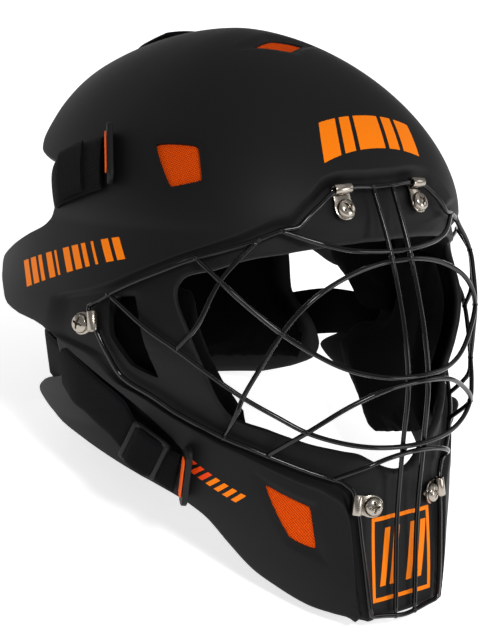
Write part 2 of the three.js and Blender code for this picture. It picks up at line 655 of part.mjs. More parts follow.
// Each tab stands on edge: its place, how far its foot is set in, two points across it, its length
const TABS = [
  ['tab_lower', 123.4, 59.4, 0, [119.4, 66], [127.4, 52.8], 31],
  ['tab_upper', 46.2, 83.6, -0.1, [50.4, 90], [42.4, 77.6], 33],
];
for (const [name, around, out, inset, rear, front, length] of TABS) {
  const frame = surfaceFrame(around, out, inset, surfacePoint(...rear).sub(surfacePoint(...front)));
  const body = roundedPlate(11, length, 4, 3.4).rotateY(-Math.PI / 2).translate(0, 0, 5.6);
  const stripe = roundedPlate(5, length * 0.7, 2, 0.7).rotateY(-Math.PI / 2).translate(1.05, 0, 6.5);
  addPair(name, body.applyMatrix4(frame), 'webbing');
  addPair(`${name}_stripe`, stripe.applyMatrix4(frame), 'tab');
}

// Lean the mask back, stand it on the floor and centre it, then cut the feet flat
const lean = new THREE.Matrix4().makeRotationX(-THREE.MathUtils.degToRad(LEAN_BACK));
mask.children.forEach((piece) => piece.geometry.applyMatrix4(lean));
const box = new THREE.Box3();
const shellBox = new THREE.Box3();
mask.children.forEach((piece) => {
  piece.geometry.computeBoundingBox();
  box.union(piece.geometry.boundingBox);
  if (piece.name === 'shell') shellBox.copy(piece.geometry.boundingBox);
});
const floor = shellBox.min.z + FLOOR_CUT;
const shift = new THREE.Matrix4().makeTranslation(0, -(box.min.y + box.max.y) / 2, -floor);
mask.children.forEach((piece) => piece.geometry.applyMatrix4(shift));
const ground = solid(new THREE.BoxGeometry(600, 600, 100).translate(0, 0, -50));
for (const piece of mask.children) {
  if (['shell', 'back_plate'].includes(piece.name)) {
    piece.geometry = geometryOf(solid(piece.geometry).subtract(ground));
  }
}

export default mask;
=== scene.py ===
# %% [markdown]
# A floorball goalie mask, rebuilt piece by piece. The solid model of the mask is loaded first: it is
# the frame that everything here follows. Each piece is then worked out again as a fine surface, given
# its material, and shown in place of its plain solid.

# %% Load the frame
import math
import bpy
import numpy as np
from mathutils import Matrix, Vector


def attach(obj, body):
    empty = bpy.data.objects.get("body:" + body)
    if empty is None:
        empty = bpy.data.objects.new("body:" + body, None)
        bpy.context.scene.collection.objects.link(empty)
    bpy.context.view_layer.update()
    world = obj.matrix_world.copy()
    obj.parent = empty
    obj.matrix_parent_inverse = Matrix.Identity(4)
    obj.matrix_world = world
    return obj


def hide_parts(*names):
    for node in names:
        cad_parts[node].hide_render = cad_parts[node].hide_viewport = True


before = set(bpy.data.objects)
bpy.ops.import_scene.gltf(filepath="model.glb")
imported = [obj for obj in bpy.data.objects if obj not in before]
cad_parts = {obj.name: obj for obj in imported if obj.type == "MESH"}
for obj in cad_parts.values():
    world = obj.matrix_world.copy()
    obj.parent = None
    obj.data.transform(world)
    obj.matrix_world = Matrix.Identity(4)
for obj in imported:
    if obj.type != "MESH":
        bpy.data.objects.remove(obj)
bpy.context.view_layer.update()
print("nodes in the frame:", len(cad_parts))

# %% [markdown]
# The mask is laid out upright in millimetres around the middle of the head: the wearer looks along
# -Y, the wearer's right is -X and +Z is up. A real mask put down on a table leans back until it
# stands on its chin and its back plate, so one last step leans every point back and sets it down.

# %% Standing the mask on the table
LEAN_BACK = math.radians(23.7)
# Millimetres that bring the leaned mask over the frame's origin and set it down
SHIFT = np.array([0.0, 18.6456, 76.1114])


def lean(points):
    """Turns points back about X by the lean: y' = y cos + z sin and z' = z cos - y sin."""
    x, y, z = np.moveaxis(np.asarray(points, float), -1, 0)
    c, s = math.cos(LEAN_BACK), math.sin(LEAN_BACK)
    return np.stack([x, y * c + z * s, z * c - y * s], -1)


def stand(points):
    """Upright millimetres to metres in the row frame; nothing reaches below the table."""
    placed = lean(points) + SHIFT
    placed[..., 2] = np.maximum(placed[..., 2], 0.0)
    return placed / 1000


# %% [markdown]
# The shell is one smooth form, so it is described by level sections. Each section is a rounded
# outline, |x / half width|^power + |y / depth|^power = 1, with one depth to the front and another to
# the back. Above the temples the outline shrinks to a point and makes the crown.

# %% Level sections of the shell
SECTION_MIDDLE = 1.8
CROWN_START, CROWN_HEIGHT = 60.0, 90.3
CROWN_SIDE_POWER, CROWN_FRONT_POWER = 1.69, 1.7
ALMOST_TOP = 0.9999
SECTIONS = np.array([
    # height, half width, depth to the front, depth to the back, power
    [-134, 50, 132, 120, 2.6],
    [-110, 66, 131, 130, 2.3],
    [-90, 80, 130, 140, 2.05],
    [-70, 92, 127.5, 145, 1.95],
    [-50, 101, 124, 150, 1.9],
    [-30, 107, 122, 150, 1.9],
    [-10, 114, 120, 150, 2.0],
    [10, 118, 117, 150, 2.1],
    [30, 113, 114, 135, 2.2],
    [60, 103.3, 111.7, 125, 2.32],
])
# The chin is flattened: at each height nothing stands further forward than this
CHIN_FLAT = np.array([[-134, 124], [-110, 123.6], [-78, 122.6], [-62, 123.2], [-50, 140], [-40, 200]])


def smooth(table, x, column=1, flat_ends=False):
    """Smooth curve through the rows of a table. Between two rows it is the cubic that meets both
    values, with slopes that are the harmonic mean of the straight slopes on either side, or zero
    where those differ in sign, so it never overshoots."""
    keys, values = table[:, 0], table[:, column]
    gap = np.diff(keys)
    rise = np.diff(values) / gap
    slope = np.concatenate([[rise[0]], np.zeros(len(keys) - 2), [rise[-1]]])
    if flat_ends:
        slope[[0, -1]] = 0
    product = rise[:-1] * rise[1:]
    total = np.where(product > 0, rise[:-1] + rise[1:], 1)
    slope[1:-1] = np.where(product > 0, 2 * product / total, 0)
    x = np.clip(x, keys[0], keys[-1])
    i = np.clip(np.searchsorted(keys, x, side="right") - 1, 0, len(keys) - 2)
    t = (x - keys[i]) / gap[i]
    a, b = 2 * t**3 - 3 * t**2 + 1, t**3 - 2 * t**2 + t
    return a * values[i] + (1 - a) * values[i + 1] + gap[i] * (b * slope[i] + (t**3 - t**2) * slope[i + 1])


HEIGHTS = np.linspace(SECTIONS[0, 0], CROWN_START, 400)
FINE_SECTIONS = [smooth(SECTIONS, HEIGHTS, column) for column in (1, 2, 3, 4)]


def outsideness(points):
    """Above zero outside the outer surface, below zero inside: |x/a|^n + |y/b|^n - 1, or how far a
    point stands in front of the chin's flat face, or above the crown, where that is more."""
    x, y, z = points[..., 0], points[..., 1] - SECTION_MIDDLE, points[..., 2]
    half, front, back, power = [np.interp(z, HEIGHTS, values) for values in FINE_SECTIONS]
    rise = np.clip((z - CROWN_START) / CROWN_HEIGHT, 0, ALMOST_TOP)
    half = half * (1 - rise**CROWN_SIDE_POWER) ** (1 / CROWN_SIDE_POWER)
    brow = (1 - rise**CROWN_FRONT_POWER) ** (1 / CROWN_FRONT_POWER)
    depth = np.where(y < 0, front * brow, back * np.sqrt(1 - rise**2))
    section = (np.abs(x) / half) ** power + (np.abs(y) / depth) ** power - 1
    ahead = -points[..., 1] - np.interp(z, *CHIN_FLAT.T)
    return np.maximum(np.maximum(section, ahead), z - (CROWN_START + CROWN_HEIGHT))


def direction(around, out):
    """Unit direction from the middle of the head. Around is 0 up, 90 to the wearer's right and 180
    down; out is the angle away from straight ahead."""
    a, o = np.radians(around), np.radians(out)
    return np.stack([-np.sin(o) * np.sin(a), -np.cos(o) + 0 * a, np.sin(o) * np.cos(a)], -1)


NEAREST, FURTHEST, HALVINGS = 40.0, 230.0, 30


def surface_radius(rays):
    """Distance to the outer surface along each direction, by halving a bracket again and again."""
    low, high = np.full(rays.shape[:-1], NEAREST), np.full(rays.shape[:-1], FURTHEST)
    for _ in range(HALVINGS):
        middle = (low + high) / 2
        outside = outsideness(rays * middle[..., None]) > 0
        high, low = np.where(outside, middle, high), np.where(outside, low, middle)
    return (low + high) / 2


def surface(around, out, inset=0.0):
    """Points at the two angles, set in from the outer surface by a depth in millimetres."""
    around, out, inset = np.broadcast_arrays(np.asarray(around, float), out, inset)
    rays = direction(around, out)
    return rays * (surface_radius(rays) - inset)[..., None]


print("half width at the ears:", round(abs(float(surface(90, 90)[0])), 1), "mm")

# %% [markdown]
# On that form the real shell has outlines: the face opening, the step round the face panel that the
# wire frame lies in, the lip over the strap bed, and the rim with its lobes at crown and ear. Each is
# a table of two angles as seen from the middle of the head, so the mesh can follow them exactly.

# %% Outlines on the shell
WALL, LIP_STEP = 4.0, 4.0
OPENING = np.array([
    [0, 26.5], [15, 27.5], [32, 31], [46, 37], [57, 45.5], [62, 50], [67, 56.5], [70, 57.3],
    [81, 53], [92, 49.3], [110, 45.3], [121, 37.1], [133, 31.3], [147, 26.8], [158, 25.1], [180, 26],
])
WIRE_LINE = np.array([
    [0, 36.9], [5, 37], [12, 37.9], [18.5, 38.8], [22, 38.9], [28, 38.5], [37.6, 38.4], [43, 40.8],
    [50.6, 44.6], [55.6, 48.4], [61.6, 54.7], [67.3, 61.6], [70.8, 66.7], [75.6, 73.9], [77.4, 76.3],
    [79, 78.6], [80.4, 78.3], [82, 76.9], [83.9, 75.6], [89.3, 72.8], [94.6, 70.3], [96.4, 68.5],
    [100.2, 63.1], [105.8, 57.7], [110.9, 52.4], [116.4, 47.4], [122, 42.8], [130.1, 38.1],
    [137.7, 34.8], [146.3, 32], [150.8, 31], [154.2, 31], [156.3, 31.6], [160.1, 34.3], [162.9, 37.3],
    [165.1, 39.8], [167.6, 43.2], [169.2, 45.4], [170, 46], [172.5, 46], [180, 46.3],
])
STEP_LINE = np.array([
    [0, 39.1], [5, 39.2], [12, 40.1], [18.5, 41.2], [22.5, 41.5], [28, 40.9], [37.6, 40.7],
    [43, 43.1], [50.6, 46.9], [55.6, 50.8], [61.6, 57.2], [67.3, 64.2], [70.8, 69.5], [74, 74.5],
    [76.2, 80], [78, 86.5], [86.6, 86.5], [89, 78], [90.5, 74.9], [94.6, 72.7], [97.2, 70.6],
    [100.6, 65.6], [105.8, 60], [110.9, 54.7], [116.4, 49.7], [122, 45], [130.1, 40.3],
    [137.7, 36.9], [146.3, 34], [153, 33.3], [156.6, 34.6], [160.1, 37.5], [162.9, 40.7],
    [165.1, 43.6], [167.6, 46.6], [170, 48.9], [180, 50.3],
])
LIP_LINE = np.array([
    [0, 75], [40, 85], [60, 84], [75, 94], [80, 99], [84, 100], [87.6, 90], [92.1, 82.3],
    [99.6, 72.3], [107, 65.6], [114.3, 60.5], [122, 57], [129.9, 53.4], [139.7, 49.9], [149.6, 48.3],
    [159.6, 48.3], [168.5, 47.6], [180, 48.9],
])
RIM_LINE = np.array([
    [0, 116], [20, 116], [30, 115.4], [36, 114.6], [40, 114.2], [44, 112.2], [46, 108.6],
    [48.3, 101.7], [51, 99.6], [54, 98.9], [58.6, 100.1], [61.6, 102.8], [64.5, 110.6],
    [67.5, 118.3], [70.9, 123.9], [75, 122.1], [79, 117.6], [82.2, 113.4], [84, 106], [85.2, 96],
    [87.6, 92.5], [93, 92.6], [98.8, 95.3], [102.2, 106.2], [107.1, 112.4], [109.4, 110.4],
    [113.2, 103.2], [116, 92.8], [120.2, 81.5], [125.5, 71], [132.3, 63.2], [137.7, 60.2],
    [144.6, 58.9], [150.6, 57.7], [156, 55], [160.3, 52.4], [163.9, 49.6], [166.4, 48.2],
    [168.1, 48.08], [168.9, 48.32], [169.8, 47.88], [171.5, 47.5], [175, 47.1], [180, 47.1],
])
LIP_DEPTH = np.array([[0, 0], [84, 0], [87, LIP_STEP], [112, LIP_STEP], [124, 0], [180, 0]])
PANEL_DEPTH = np.array([[0, 0], [168, 0], [171.5, 6], [180, 6]])
# How deep the face panel lies under the wire, and as it is finished: at the ears it is almost flush
RECESS = np.array([[0, 6], [45, 6], [65, 3.8], [105, 3.8], [130, 6], [180, 6]])
FACE_DEPTH = np.array([
    [0, 6], [45, 6], [65, 3.8], [74, 2.5], [91, 2.5], [105, 3.8], [130, 6], [180, 6],
])
# How far the edge of the face panel is rolled over, in degrees: wide at the ears, crisp elsewhere
STEP_ROLL = np.array([
    [0, 1.1], [40, 1.1], [60, 1.0], [72, 2.5], [78, 7], [87, 7], [93, 2.5], [100, 0.9], [180, 0.9],
])
STEP_LEAD, LIP_ROLL = 0.8, 0.7
# Holes through the shell, and how wide and deep the pocket round each is, in millimetres
MM_PER_DEGREE = 2.35
HOLES = {
    "top_vent": (np.array([[7, 78.2], [0, 80.6], [-7, 78.2], [0, 74.2]]), 5.0, 1.6),
    "side_vent": (np.array([[40.3, 74.6], [37.1, 65.1], [44, 59.9], [48.3, 65.6]]), 1.6, 0.8),
    "chin_vent": (np.array([[133.2, 43.6], [146.3, 38.5], [154.6, 43.6], [148.7, 46.1]]), 3.6, 1.2),
    "cheek_slot": (np.array([[75.8, 74.2], [74.3, 67.2], [79.2, 65.3], [96.2, 60.4], [92.6, 67.6],
                             [85, 72.6]]), 1.8, 0.8),
}


def ramp(x, start, end):
    """Smooth climb from 0 at start to 1 at end: 3t^2 - 2t^3."""
    t = np.clip((x - start) / (end - start), 0, 1)
    return t * t * (3 - 2 * t)


def outline_distance(around, out, outline):
    """Rough distance in millimetres to an outline of angles, negative inside it: the largest of the
    distances to its sides, each side taken as a straight line across the angles."""
    centre = outline.mean(0)
    scale = np.array([math.sin(math.radians(centre[1])), 1.0])
    corners = (outline - centre) * scale
    point = np.stack([(around - centre[0]) * scale[0], (out - centre[1]) * scale[1]], -1)
    sides = np.roll(corners, -1, 0) - corners
    normal = np.stack([sides[:, 1], -sides[:, 0]], -1) / np.linalg.norm(sides, axis=1)[:, None]
    normal *= np.sign((normal * corners).sum(1))[:, None]
    return MM_PER_DEGREE * ((point[..., None, :] - corners) * normal).sum(-1).max(-1)


def depth_at(around, out):
    """How far the finished surface is set in at the two angles: the face panel inside the step, the
    strap bed beyond the lip, and a shallow pocket round each vent."""
    turn = np.abs(around)
    step, lip = smooth(STEP_LINE, turn, flat_ends=True), smooth(LIP_LINE, turn, flat_ends=True)
    panel = np.interp(turn, *PANEL_DEPTH.T)
    bed = np.interp(turn, *LIP_DEPTH.T) * ramp(out, lip - LIP_ROLL, lip + LIP_ROLL)
    face, roll = np.interp(turn, *FACE_DEPTH.T), np.interp(turn, *STEP_ROLL.T)
    inset = face + (np.maximum(panel, bed) - face) * ramp(out, step - STEP_LEAD, step + roll)
    for name, (outline, reach, deep) in HOLES.items():
        side = around if name == "top_vent" else turn
        inset = inset + deep * (1 - ramp(outline_distance(side, out, outline), 0, reach))
    return inset


# %% [markdown]
# Every new surface becomes a mesh in the same way: a grid of points worked out as one array, whose
# neighbours make quads. The grid may close on itself in either direction, and it carries a UV map in
# millimetres, so that weaves and grain keep their real size.

# %% From arrays to meshes
def mesh_object(name, points, faces, uv=None):
    """Object with its place in its mesh: points in metres, faces as rows of four corners."""
    mesh = bpy.data.meshes.new(name)
    mesh.from_pydata(points.reshape(-1, 3).tolist(), [], faces.tolist())
    if uv is not None:
        layer = mesh.uv_layers.new(name="UVMap")
        layer.data.foreach_set("uv", uv[faces.ravel()].ravel().astype(np.float32))
    mesh.validate()
    mesh.update()
    piece = bpy.data.objects.new(name, mesh)
    bpy.context.scene.collection.objects.link(piece)
    return piece


def grid_faces(rows, columns, close_rows=False, close_columns=False, start=0):
    """Quads between neighbours of a grid, with the last row or column joined to the first."""
    i = np.arange(rows if close_rows else rows - 1)[:, None]
    j = np.arange(columns if close_columns else columns - 1)[None, :]
    k, m = (i + 1) % rows, (j + 1) % columns
    corners = [i * columns + j, i * columns + m, k * columns + m, k * columns + j]
    return start + np.stack([np.broadcast_to(c, (len(i), j.shape[1])) for c in corners], -1).reshape(-1, 4)


def closed_body(upper, lower, sewn=False):
    """Closed body of two grids that lie face to face. A band of quads joins their edges, or, where
    they are sewn, the lower grid takes its edge from the upper one."""
    rows, columns = upper.shape[:2]
    n = rows * columns
    number = np.arange(n).reshape(rows, columns)
    border = np.concatenate([number[0, :-1], number[:-1, -1], number[-1, :0:-1], number[:0:-1, 0]])
    points = stand(np.concatenate([upper.reshape(-1, 3), lower.reshape(-1, 3)]))
    faces = [grid_faces(rows, columns), grid_faces(rows, columns, start=n)[:, ::-1]]
    if not sewn:
        after = np.roll(border, -1)
        return points, np.concatenate([*faces, np.stack([after, border, border + n, after + n], -1)])
    index = np.arange(2 * n)
    index[n + border] = border
    used, faces = np.unique(index[np.concatenate(faces)], return_inverse=True)
    return points[used], faces.reshape(-1, 4)


def signed_volume(points, faces):
    """Six times the volume inside closed quads, above zero where they face outwards."""
    a, b, c, d = [points.reshape(-1, 3)[faces[:, i]] for i in range(4)]
    return (a * np.cross(b, c)).sum() + (a * np.cross(c, d)).sum()


def join_parts(name, parts):
    """One object from several closed grids of points, each (points, faces) and an optional UV."""
    offset, points, faces, uvs = 0, [], [], []
    for part in parts:
        flat, quads = part[0].reshape(-1, 3), part[1]
        quads = quads if signed_volume(flat, quads) > 0 else quads[:, ::-1]
        points.append(flat)
        faces.append(quads + offset)
        uvs.append(part[2].reshape(-1, 2) if len(part) > 2 else np.zeros((len(flat), 2)))
        offset += len(flat)
    return mesh_object(name, np.concatenate(points), np.concatenate(faces), np.concatenate(uvs))


def shade(piece, angle=40):
    """Smooth shading that keeps edges sharper than the angle."""
    piece.data.polygons.foreach_set("use_smooth", np.ones(len(piece.data.polygons), bool))
    piece.data.set_sharp_from_angle(angle=math.radians(angle))
    return piece


def finish_mesh(piece):
    """Applies what modifiers the piece carries, so that its mesh is the finished one."""
    seen = piece.evaluated_get(bpy.context.evaluated_depsgraph_get())
    old, piece.data = piece.data, bpy.data.meshes.new_from_object(seen)
    piece.modifiers.clear()
    bpy.data.meshes.remove(old)
    return piece


# %% [markdown]
# Materials come next, because each piece gets its own as it is made. One small function adds a node
# with its settings and links, and hex colours go through one conversion to linear light.

# %% A small way to write materials
def linear(code):
    """sRGB hex to linear: c / 12.92 below 0.04045, else ((c + 0.055) / 1.055) ^ 2.4."""
    c = np.array([int(code[i:i + 2], 16) for i in (1, 3, 5)]) / 255
    return (*np.where(c <= 0.04045, c / 12.92, ((c + 0.055) / 1.055) ** 2.4), 1.0)


def add(tree, kind, settings=None, colours=(), into=None, **links):
    """Adds a node. Settings are its properties, and colours are the hex ends of a ramp. Links are its
    inputs, in lower case with _ for a space, or _0 and _1 by number: each is a value, or a (node,
    output) pair. Into is the (node, input) pair that its first output feeds."""
    node = tree.nodes.new(kind)
    for key, value in (settings or {}).items():
        setattr(node, key, value)
    for number, code in enumerate(colours):
        node.color_ramp.elements[number].color = linear(code)
    for key, value in links.items():
        named = [s for s in node.inputs if s.name.lower() == key.replace("_", " ") and s.enabled]
        socket = named[0] if named else node.inputs[int(key[1:])]
        if isinstance(value, tuple) and isinstance(value[0], bpy.types.Node):
            tree.links.new(value[0].outputs[value[1]], socket)
        else:
            socket.default_value = value
    if into:
        tree.links.new(node.outputs[0], into[0].inputs[into[1]])
    return node


def start_material(name, **principled):
    """New material with its Principled shader, and its coordinates, ready for more nodes."""
    material = bpy.data.materials.new(name)
    material.use_nodes = True
    tree = material.node_tree
    shader = tree.nodes["Principled BSDF"]
    sockets = {socket.name.lower(): socket for socket in shader.inputs}
    for key, value in principled.items():
        sockets[key.replace("_", " ")].default_value = value
    return material, tree, shader, add(tree, "ShaderNodeTexCoord")


def per_metre(features):
    """Scale of a pattern on coordinates in metres, from how many of its features fill a millimetre."""
    return 1000 * features


# %% [markdown]
# The shell is injection-moulded ABS with a soft-touch lacquer: a very dark grey that scatters light
# widely, with grain of about 0.4 mm. A slow change in roughness keeps large faces from looking flat.

# %% Soft-touch ABS, moulded and lacquered
def soft_touch_abs():
    material, tree, shader, place = start_material("soft_touch_abs_moulded", ior=1.5,
                                                   specular_ior_level=0.17)
    cloud = add(tree, "ShaderNodeTexNoise", vector=(place, "Object"), scale=per_metre(0.014), detail=3.0)
    grain = add(tree, "ShaderNodeTexNoise", vector=(place, "Object"), scale=per_metre(2.6), detail=2.0)
    add(tree, "ShaderNodeValToRGB", colours=("#0D0D0E", "#131313"), fac=(cloud, "Fac"),
        into=(shader, "Base Color"))
    add(tree, "ShaderNodeMapRange", value=(cloud, "Fac"), to_min=0.5, to_max=0.6,
        into=(shader, "Roughness"))
    add(tree, "ShaderNodeBump", height=(grain, "Fac"), strength=0.25, distance=0.00012,
        into=(shader, "Normal"))
    return material


# %% [markdown]
# The cage is steel wire under gloss black enamel, dipped and baked: it is almost black, with a thin
# line of light along each wire. Its faint orange peel is about 2.4 mm from crest to crest.

# %% Gloss enamel on steel wire
def gloss_enamel_wire():
    material, tree, shader, place = start_material(
        "gloss_black_enamel_on_steel", ior=1.5, roughness=0.08, specular_ior_level=0.3,
        coat_weight=0.06, coat_roughness=0.03)
    peel = add(tree, "ShaderNodeTexNoise", vector=(place, "Object"), scale=per_metre(0.42), detail=1.0)
    add(tree, "ShaderNodeValToRGB", colours=("#060607", "#0B0B0C"), fac=(peel, "Fac"),
        into=(shader, "Base Color"))
    add(tree, "ShaderNodeBump", height=(peel, "Fac"), strength=0.05, distance=0.0001,
        into=(shader, "Normal"))
    return material


# %% [markdown]
# Clips and screws are pressed steel with bright nickel plating, slightly warm. Handling leaves faint
# scratches, about 1 mm long and 0.2 mm wide, drawn by stretching a noise.

# %% Bright nickel plating
def nickel_plate():
    material, tree, shader, place = start_material("bright_nickel_plate", metallic=1.0)
    stretch = add(tree, "ShaderNodeMapping", vector=(place, "Object"),
                  scale=(per_metre(0.9), per_metre(0.9), per_metre(5.2)))
    scratch = add(tree, "ShaderNodeTexNoise", vector=(stretch, "Vector"), scale=1.0, detail=3.0)
    add(tree, "ShaderNodeValToRGB", colours=("#8C847A", "#BDB5AA"), fac=(scratch, "Fac"),
        into=(shader, "Base Color"))
    add(tree, "ShaderNodeMapRange", value=(scratch, "Fac"), to_min=0.16, to_max=0.32,
        into=(shader, "Roughness"))
    add(tree, "ShaderNodeBump", height=(scratch, "Fac"), strength=0.1, distance=0.00005,
        into=(shader, "Normal"))
    return material


# %% [markdown]
# The vents are backed with orange knitted spacer mesh. Its round cells are 1 mm apart, and they are a
# Voronoi pattern on the UV map, which is in millimetres. The cells are the knit's own pattern, and
# their darker middles are painted shade, standing in for the shade in the open cells.

# %% Knitted mesh
CELL = 1.0


def knitted_mesh():
    material, tree, shader, place = start_material("orange_knitted_spacer_mesh", roughness=0.9,
                                                   specular_ior_level=0.08)
    cells = add(tree, "ShaderNodeTexVoronoi", {"feature": "F1"}, vector=(place, "UV"),
                scale=1 / CELL, randomness=0.12)
    ring = add(tree, "ShaderNodeMapRange", value=(cells, "Distance"), from_min=0.16, from_max=0.42)
    # Darker orange towards each cell's middle: painted shade in the open cells, over the knit's own cells
    add(tree, "ShaderNodeValToRGB", colours=("#B83202", "#EA5206"), fac=(ring, "Result"),
        into=(shader, "Base Color"))
    add(tree, "ShaderNodeBump", height=(ring, "Result"), strength=0.9, distance=0.0005,
        into=(shader, "Normal"))
    return material


# %% [markdown]
# Elastic webbing is polyester yarn woven over rubber. Ribs 1.2 mm apart cross yarns 0.9 mm apart: two
# sines on the UV map, multiplied together and added to the ribs, give the relief.

# %% Woven elastic
RIB, YARN = 1.2, 0.9


def woven_elastic():
    material, tree, shader, place = start_material(
        "woven_elastic_webbing", roughness=1.0, specular_ior_level=0.08, sheen_weight=0.03)
    split = add(tree, "ShaderNodeSeparateXYZ", vector=(place, "UV"))
    waves = []
    for axis, spacing in (("Y", RIB), ("X", YARN)):
        angle = add(tree, "ShaderNodeMath", {"operation": "MULTIPLY"}, _0=(split, axis),
                    _1=2 * math.pi / spacing)
        waves.append((add(tree, "ShaderNodeMath", {"operation": "SINE"}, _0=(angle, "Value")), "Value"))
    ribs, yarns = waves
    weave = add(tree, "ShaderNodeMath", {"operation": "MULTIPLY_ADD"}, _0=ribs, _1=yarns, _2=ribs)
    level = add(tree, "ShaderNodeMapRange", value=(weave, "Value"), from_min=-2.0, from_max=2.0)
    add(tree, "ShaderNodeValToRGB", colours=("#050506", "#0D0E10"), fac=(level, "Result"),
        into=(shader, "Base Color"))
    add(tree, "ShaderNodeBump", height=(level, "Result"), strength=0.8, distance=0.0003,
        into=(shader, "Normal"))
    return material


# %% [markdown]
# The cushions are foam under brushed nylon tricot: fuzz so fine that the cloth looks almost black.
# The real nap is finer than a render can show, so it is drawn at 0.9 mm, over patches of 17 mm.

# %% Brushed tricot
def brushed_tricot():
    material, tree, shader, place = start_material(
        "brushed_nylon_tricot", roughness=1.0, specular_ior_level=0.04, sheen_weight=0.015)
    fuzz = add(tree, "ShaderNodeTexNoise", vector=(place, "Object"), scale=per_metre(1.1), detail=4.0)
    patch = add(tree, "ShaderNodeTexNoise", vector=(place, "Object"), scale=per_metre(0.06), detail=2.0)
    blend = add(tree, "ShaderNodeMath", {"operation": "MULTIPLY_ADD"}, _0=(patch, "Fac"), _1=0.6,
                _2=(fuzz, "Fac"))
    level = add(tree, "ShaderNodeMapRange", value=(blend, "Value"), from_min=0.5, from_max=1.1)
    add(tree, "ShaderNodeValToRGB", colours=("#030303", "#09090A"), fac=(level, "Result"),
        into=(shader, "Base Color"))
    add(tree, "ShaderNodeBump", height=(fuzz, "Fac"), strength=0.5, distance=0.0003,
        into=(shader, "Normal"))
    return material


# %% [markdown]
# Buckles, tabs and the back plate are moulded polyamide: a little lighter and glossier than the
# shell, with a spark-eroded grain of about 0.7 mm from the mould.

# %% Moulded polyamide
def moulded_polyamide():
    material, tree, shader, place = start_material("black_polyamide_moulded", ior=1.53,
                                                   specular_ior_level=0.18)
    grain = add(tree, "ShaderNodeTexNoise", vector=(place, "Object"), scale=per_metre(1.5), detail=2.0)
    add(tree, "ShaderNodeValToRGB", colours=("#111112", "#19191A"), fac=(grain, "Fac"),
        into=(shader, "Base Color"))
    add(tree, "ShaderNodeMapRange", value=(grain, "Fac"), to_min=0.48, to_max=0.6,
        into=(shader, "Roughness"))
    add(tree, "ShaderNodeBump", height=(grain, "Fac"), strength=0.3, distance=0.0001,
        into=(shader, "Normal"))
    return material


# %% [markdown]
# The prints are screen-printed ink, opaque and slightly satin, and the tabs have orange rubber faces.
# Both are a colour that varies very little, over a film that is uneven at about 1.1 mm.

# %% Inks and rubber, and the list of materials
def screen_ink(name, low, high, roughness):
    material, tree, shader, place = start_material(name, roughness=roughness, specular_ior_level=0.12)
    film = add(tree, "ShaderNodeTexNoise", vector=(place, "Object"), scale=per_metre(0.9), detail=3.0)
    add(tree, "ShaderNodeValToRGB", colours=(low, high), fac=(film, "Fac"), into=(shader, "Base Color"))
    add(tree, "ShaderNodeBump", height=(film, "Fac"), strength=0.15, distance=0.00005,
        into=(shader, "Normal"))
    return material


MATERIALS = {
    "shell": soft_touch_abs(), "wire": gloss_enamel_wire(), "nickel": nickel_plate(),
    "mesh": knitted_mesh(), "webbing": woven_elastic(), "padding": brushed_tricot(),
    "plastic": moulded_polyamide(), "ink": screen_ink("orange_screen_ink", "#F77A00", "#FF8402", 0.5),
    "red_ink": screen_ink("red_orange_screen_ink", "#F03C04", "#FA4E0A", 0.5),
    "tab": screen_ink("orange_rubber", "#E4500E", "#F4641A", 0.6),
}
print("materials:", len(MATERIALS))


# %% [markdown]
# Each piece ends the same way: it gets its material, it is hung on the root of the frame, and the
# plain solids that it is shown in place of are hidden. A piece that comes in pairs is made once, and
# once more through the mirror.

# %% Placing a piece
def place_piece(piece, look, slot, *nodes):
    """Gives a finished piece its material and its place in the frame."""
    piece.data.materials.clear()
    piece.data.materials.append(MATERIALS[look])
    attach(piece, "root")
    if nodes:
        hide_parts(*nodes)


def mirror(part):
    """The same part on the other side of the middle plane."""
    return (part[0] * [-1, 1, 1], *part[1:])


def as_it_is(part):
    return part


HANDS = (("right", as_it_is), ("left", mirror))

# %% [markdown]
# The shell could be sculpted, or cut from a solid. Here its section is walked once all the way
# round: out over the outer face from the opening to the rim, round the rim, back along the inner
# face and round the edge of the opening. The rows crowd together where the step and the lip are.

# %% The shell
# In degrees: how far the edges are rounded, the fine rows round the step and at the lip, and the
# least gap between two rows
EDGE_ROUND, STEP_BEFORE, STEP_AFTER, LIP_BAND, ROW_GAP = 0.9, 1.0, 2.8, 0.9, 0.02


def shell_profile(around):
    """Angles out and depths, one row for each place on the section and one column per around."""
    turn = np.abs(around)
    edge, step, lip, rim = [smooth(table, turn, flat_ends=True)
                            for table in (OPENING, STEP_LINE, LIP_LINE, RIM_LINE)]
    first, last = edge + EDGE_ROUND, rim - EDGE_ROUND
    before, after = step - STEP_BEFORE, step + STEP_AFTER
    spans = [(first, before, 16), (before, after, 20),
             (after, np.maximum(lip - LIP_BAND, after + 0.1), 44),
             (lip - LIP_BAND, lip + LIP_BAND, 10), (lip + LIP_BAND, last, 34)]
    rows = [a + (b - a) * (np.arange(n) / n)[:, None] for a, b, n in spans]
    rows = np.concatenate([*rows, last[None]])
    outer = np.minimum(rows, last - np.arange(len(rows))[::-1, None] * ROW_GAP)
    depth = depth_at(np.broadcast_to(around, outer.shape), outer)
    half_turn = np.linspace(0, math.pi, 8)[1:-1, None]
    rim_rows = last + EDGE_ROUND * np.sin(half_turn)
    rim_depth = depth[-1] + WALL / 2 * (1 - np.cos(half_turn))
    inner, inner_depth = outer[::-3], depth[::-3] + WALL
    edge_rows = first - EDGE_ROUND * np.sin(half_turn)
    edge_depth = depth[0] + WALL / 2 * (1 + np.cos(half_turn))
    return (np.concatenate([outer, rim_rows, inner, edge_rows]),
            np.concatenate([depth, rim_depth, inner_depth, edge_depth]))


def rounded(outline):
    """Cuts the corners of an outline three times, the first time least, so that it turns smoothly."""
    for share in (0.07, 0.25, 0.25):
        after = np.roll(outline, -1, 0)
        pairs = np.stack([outline + share * (after - outline), after - share * (after - outline)], 1)
        outline = pairs.reshape(-1, 2)
    return outline


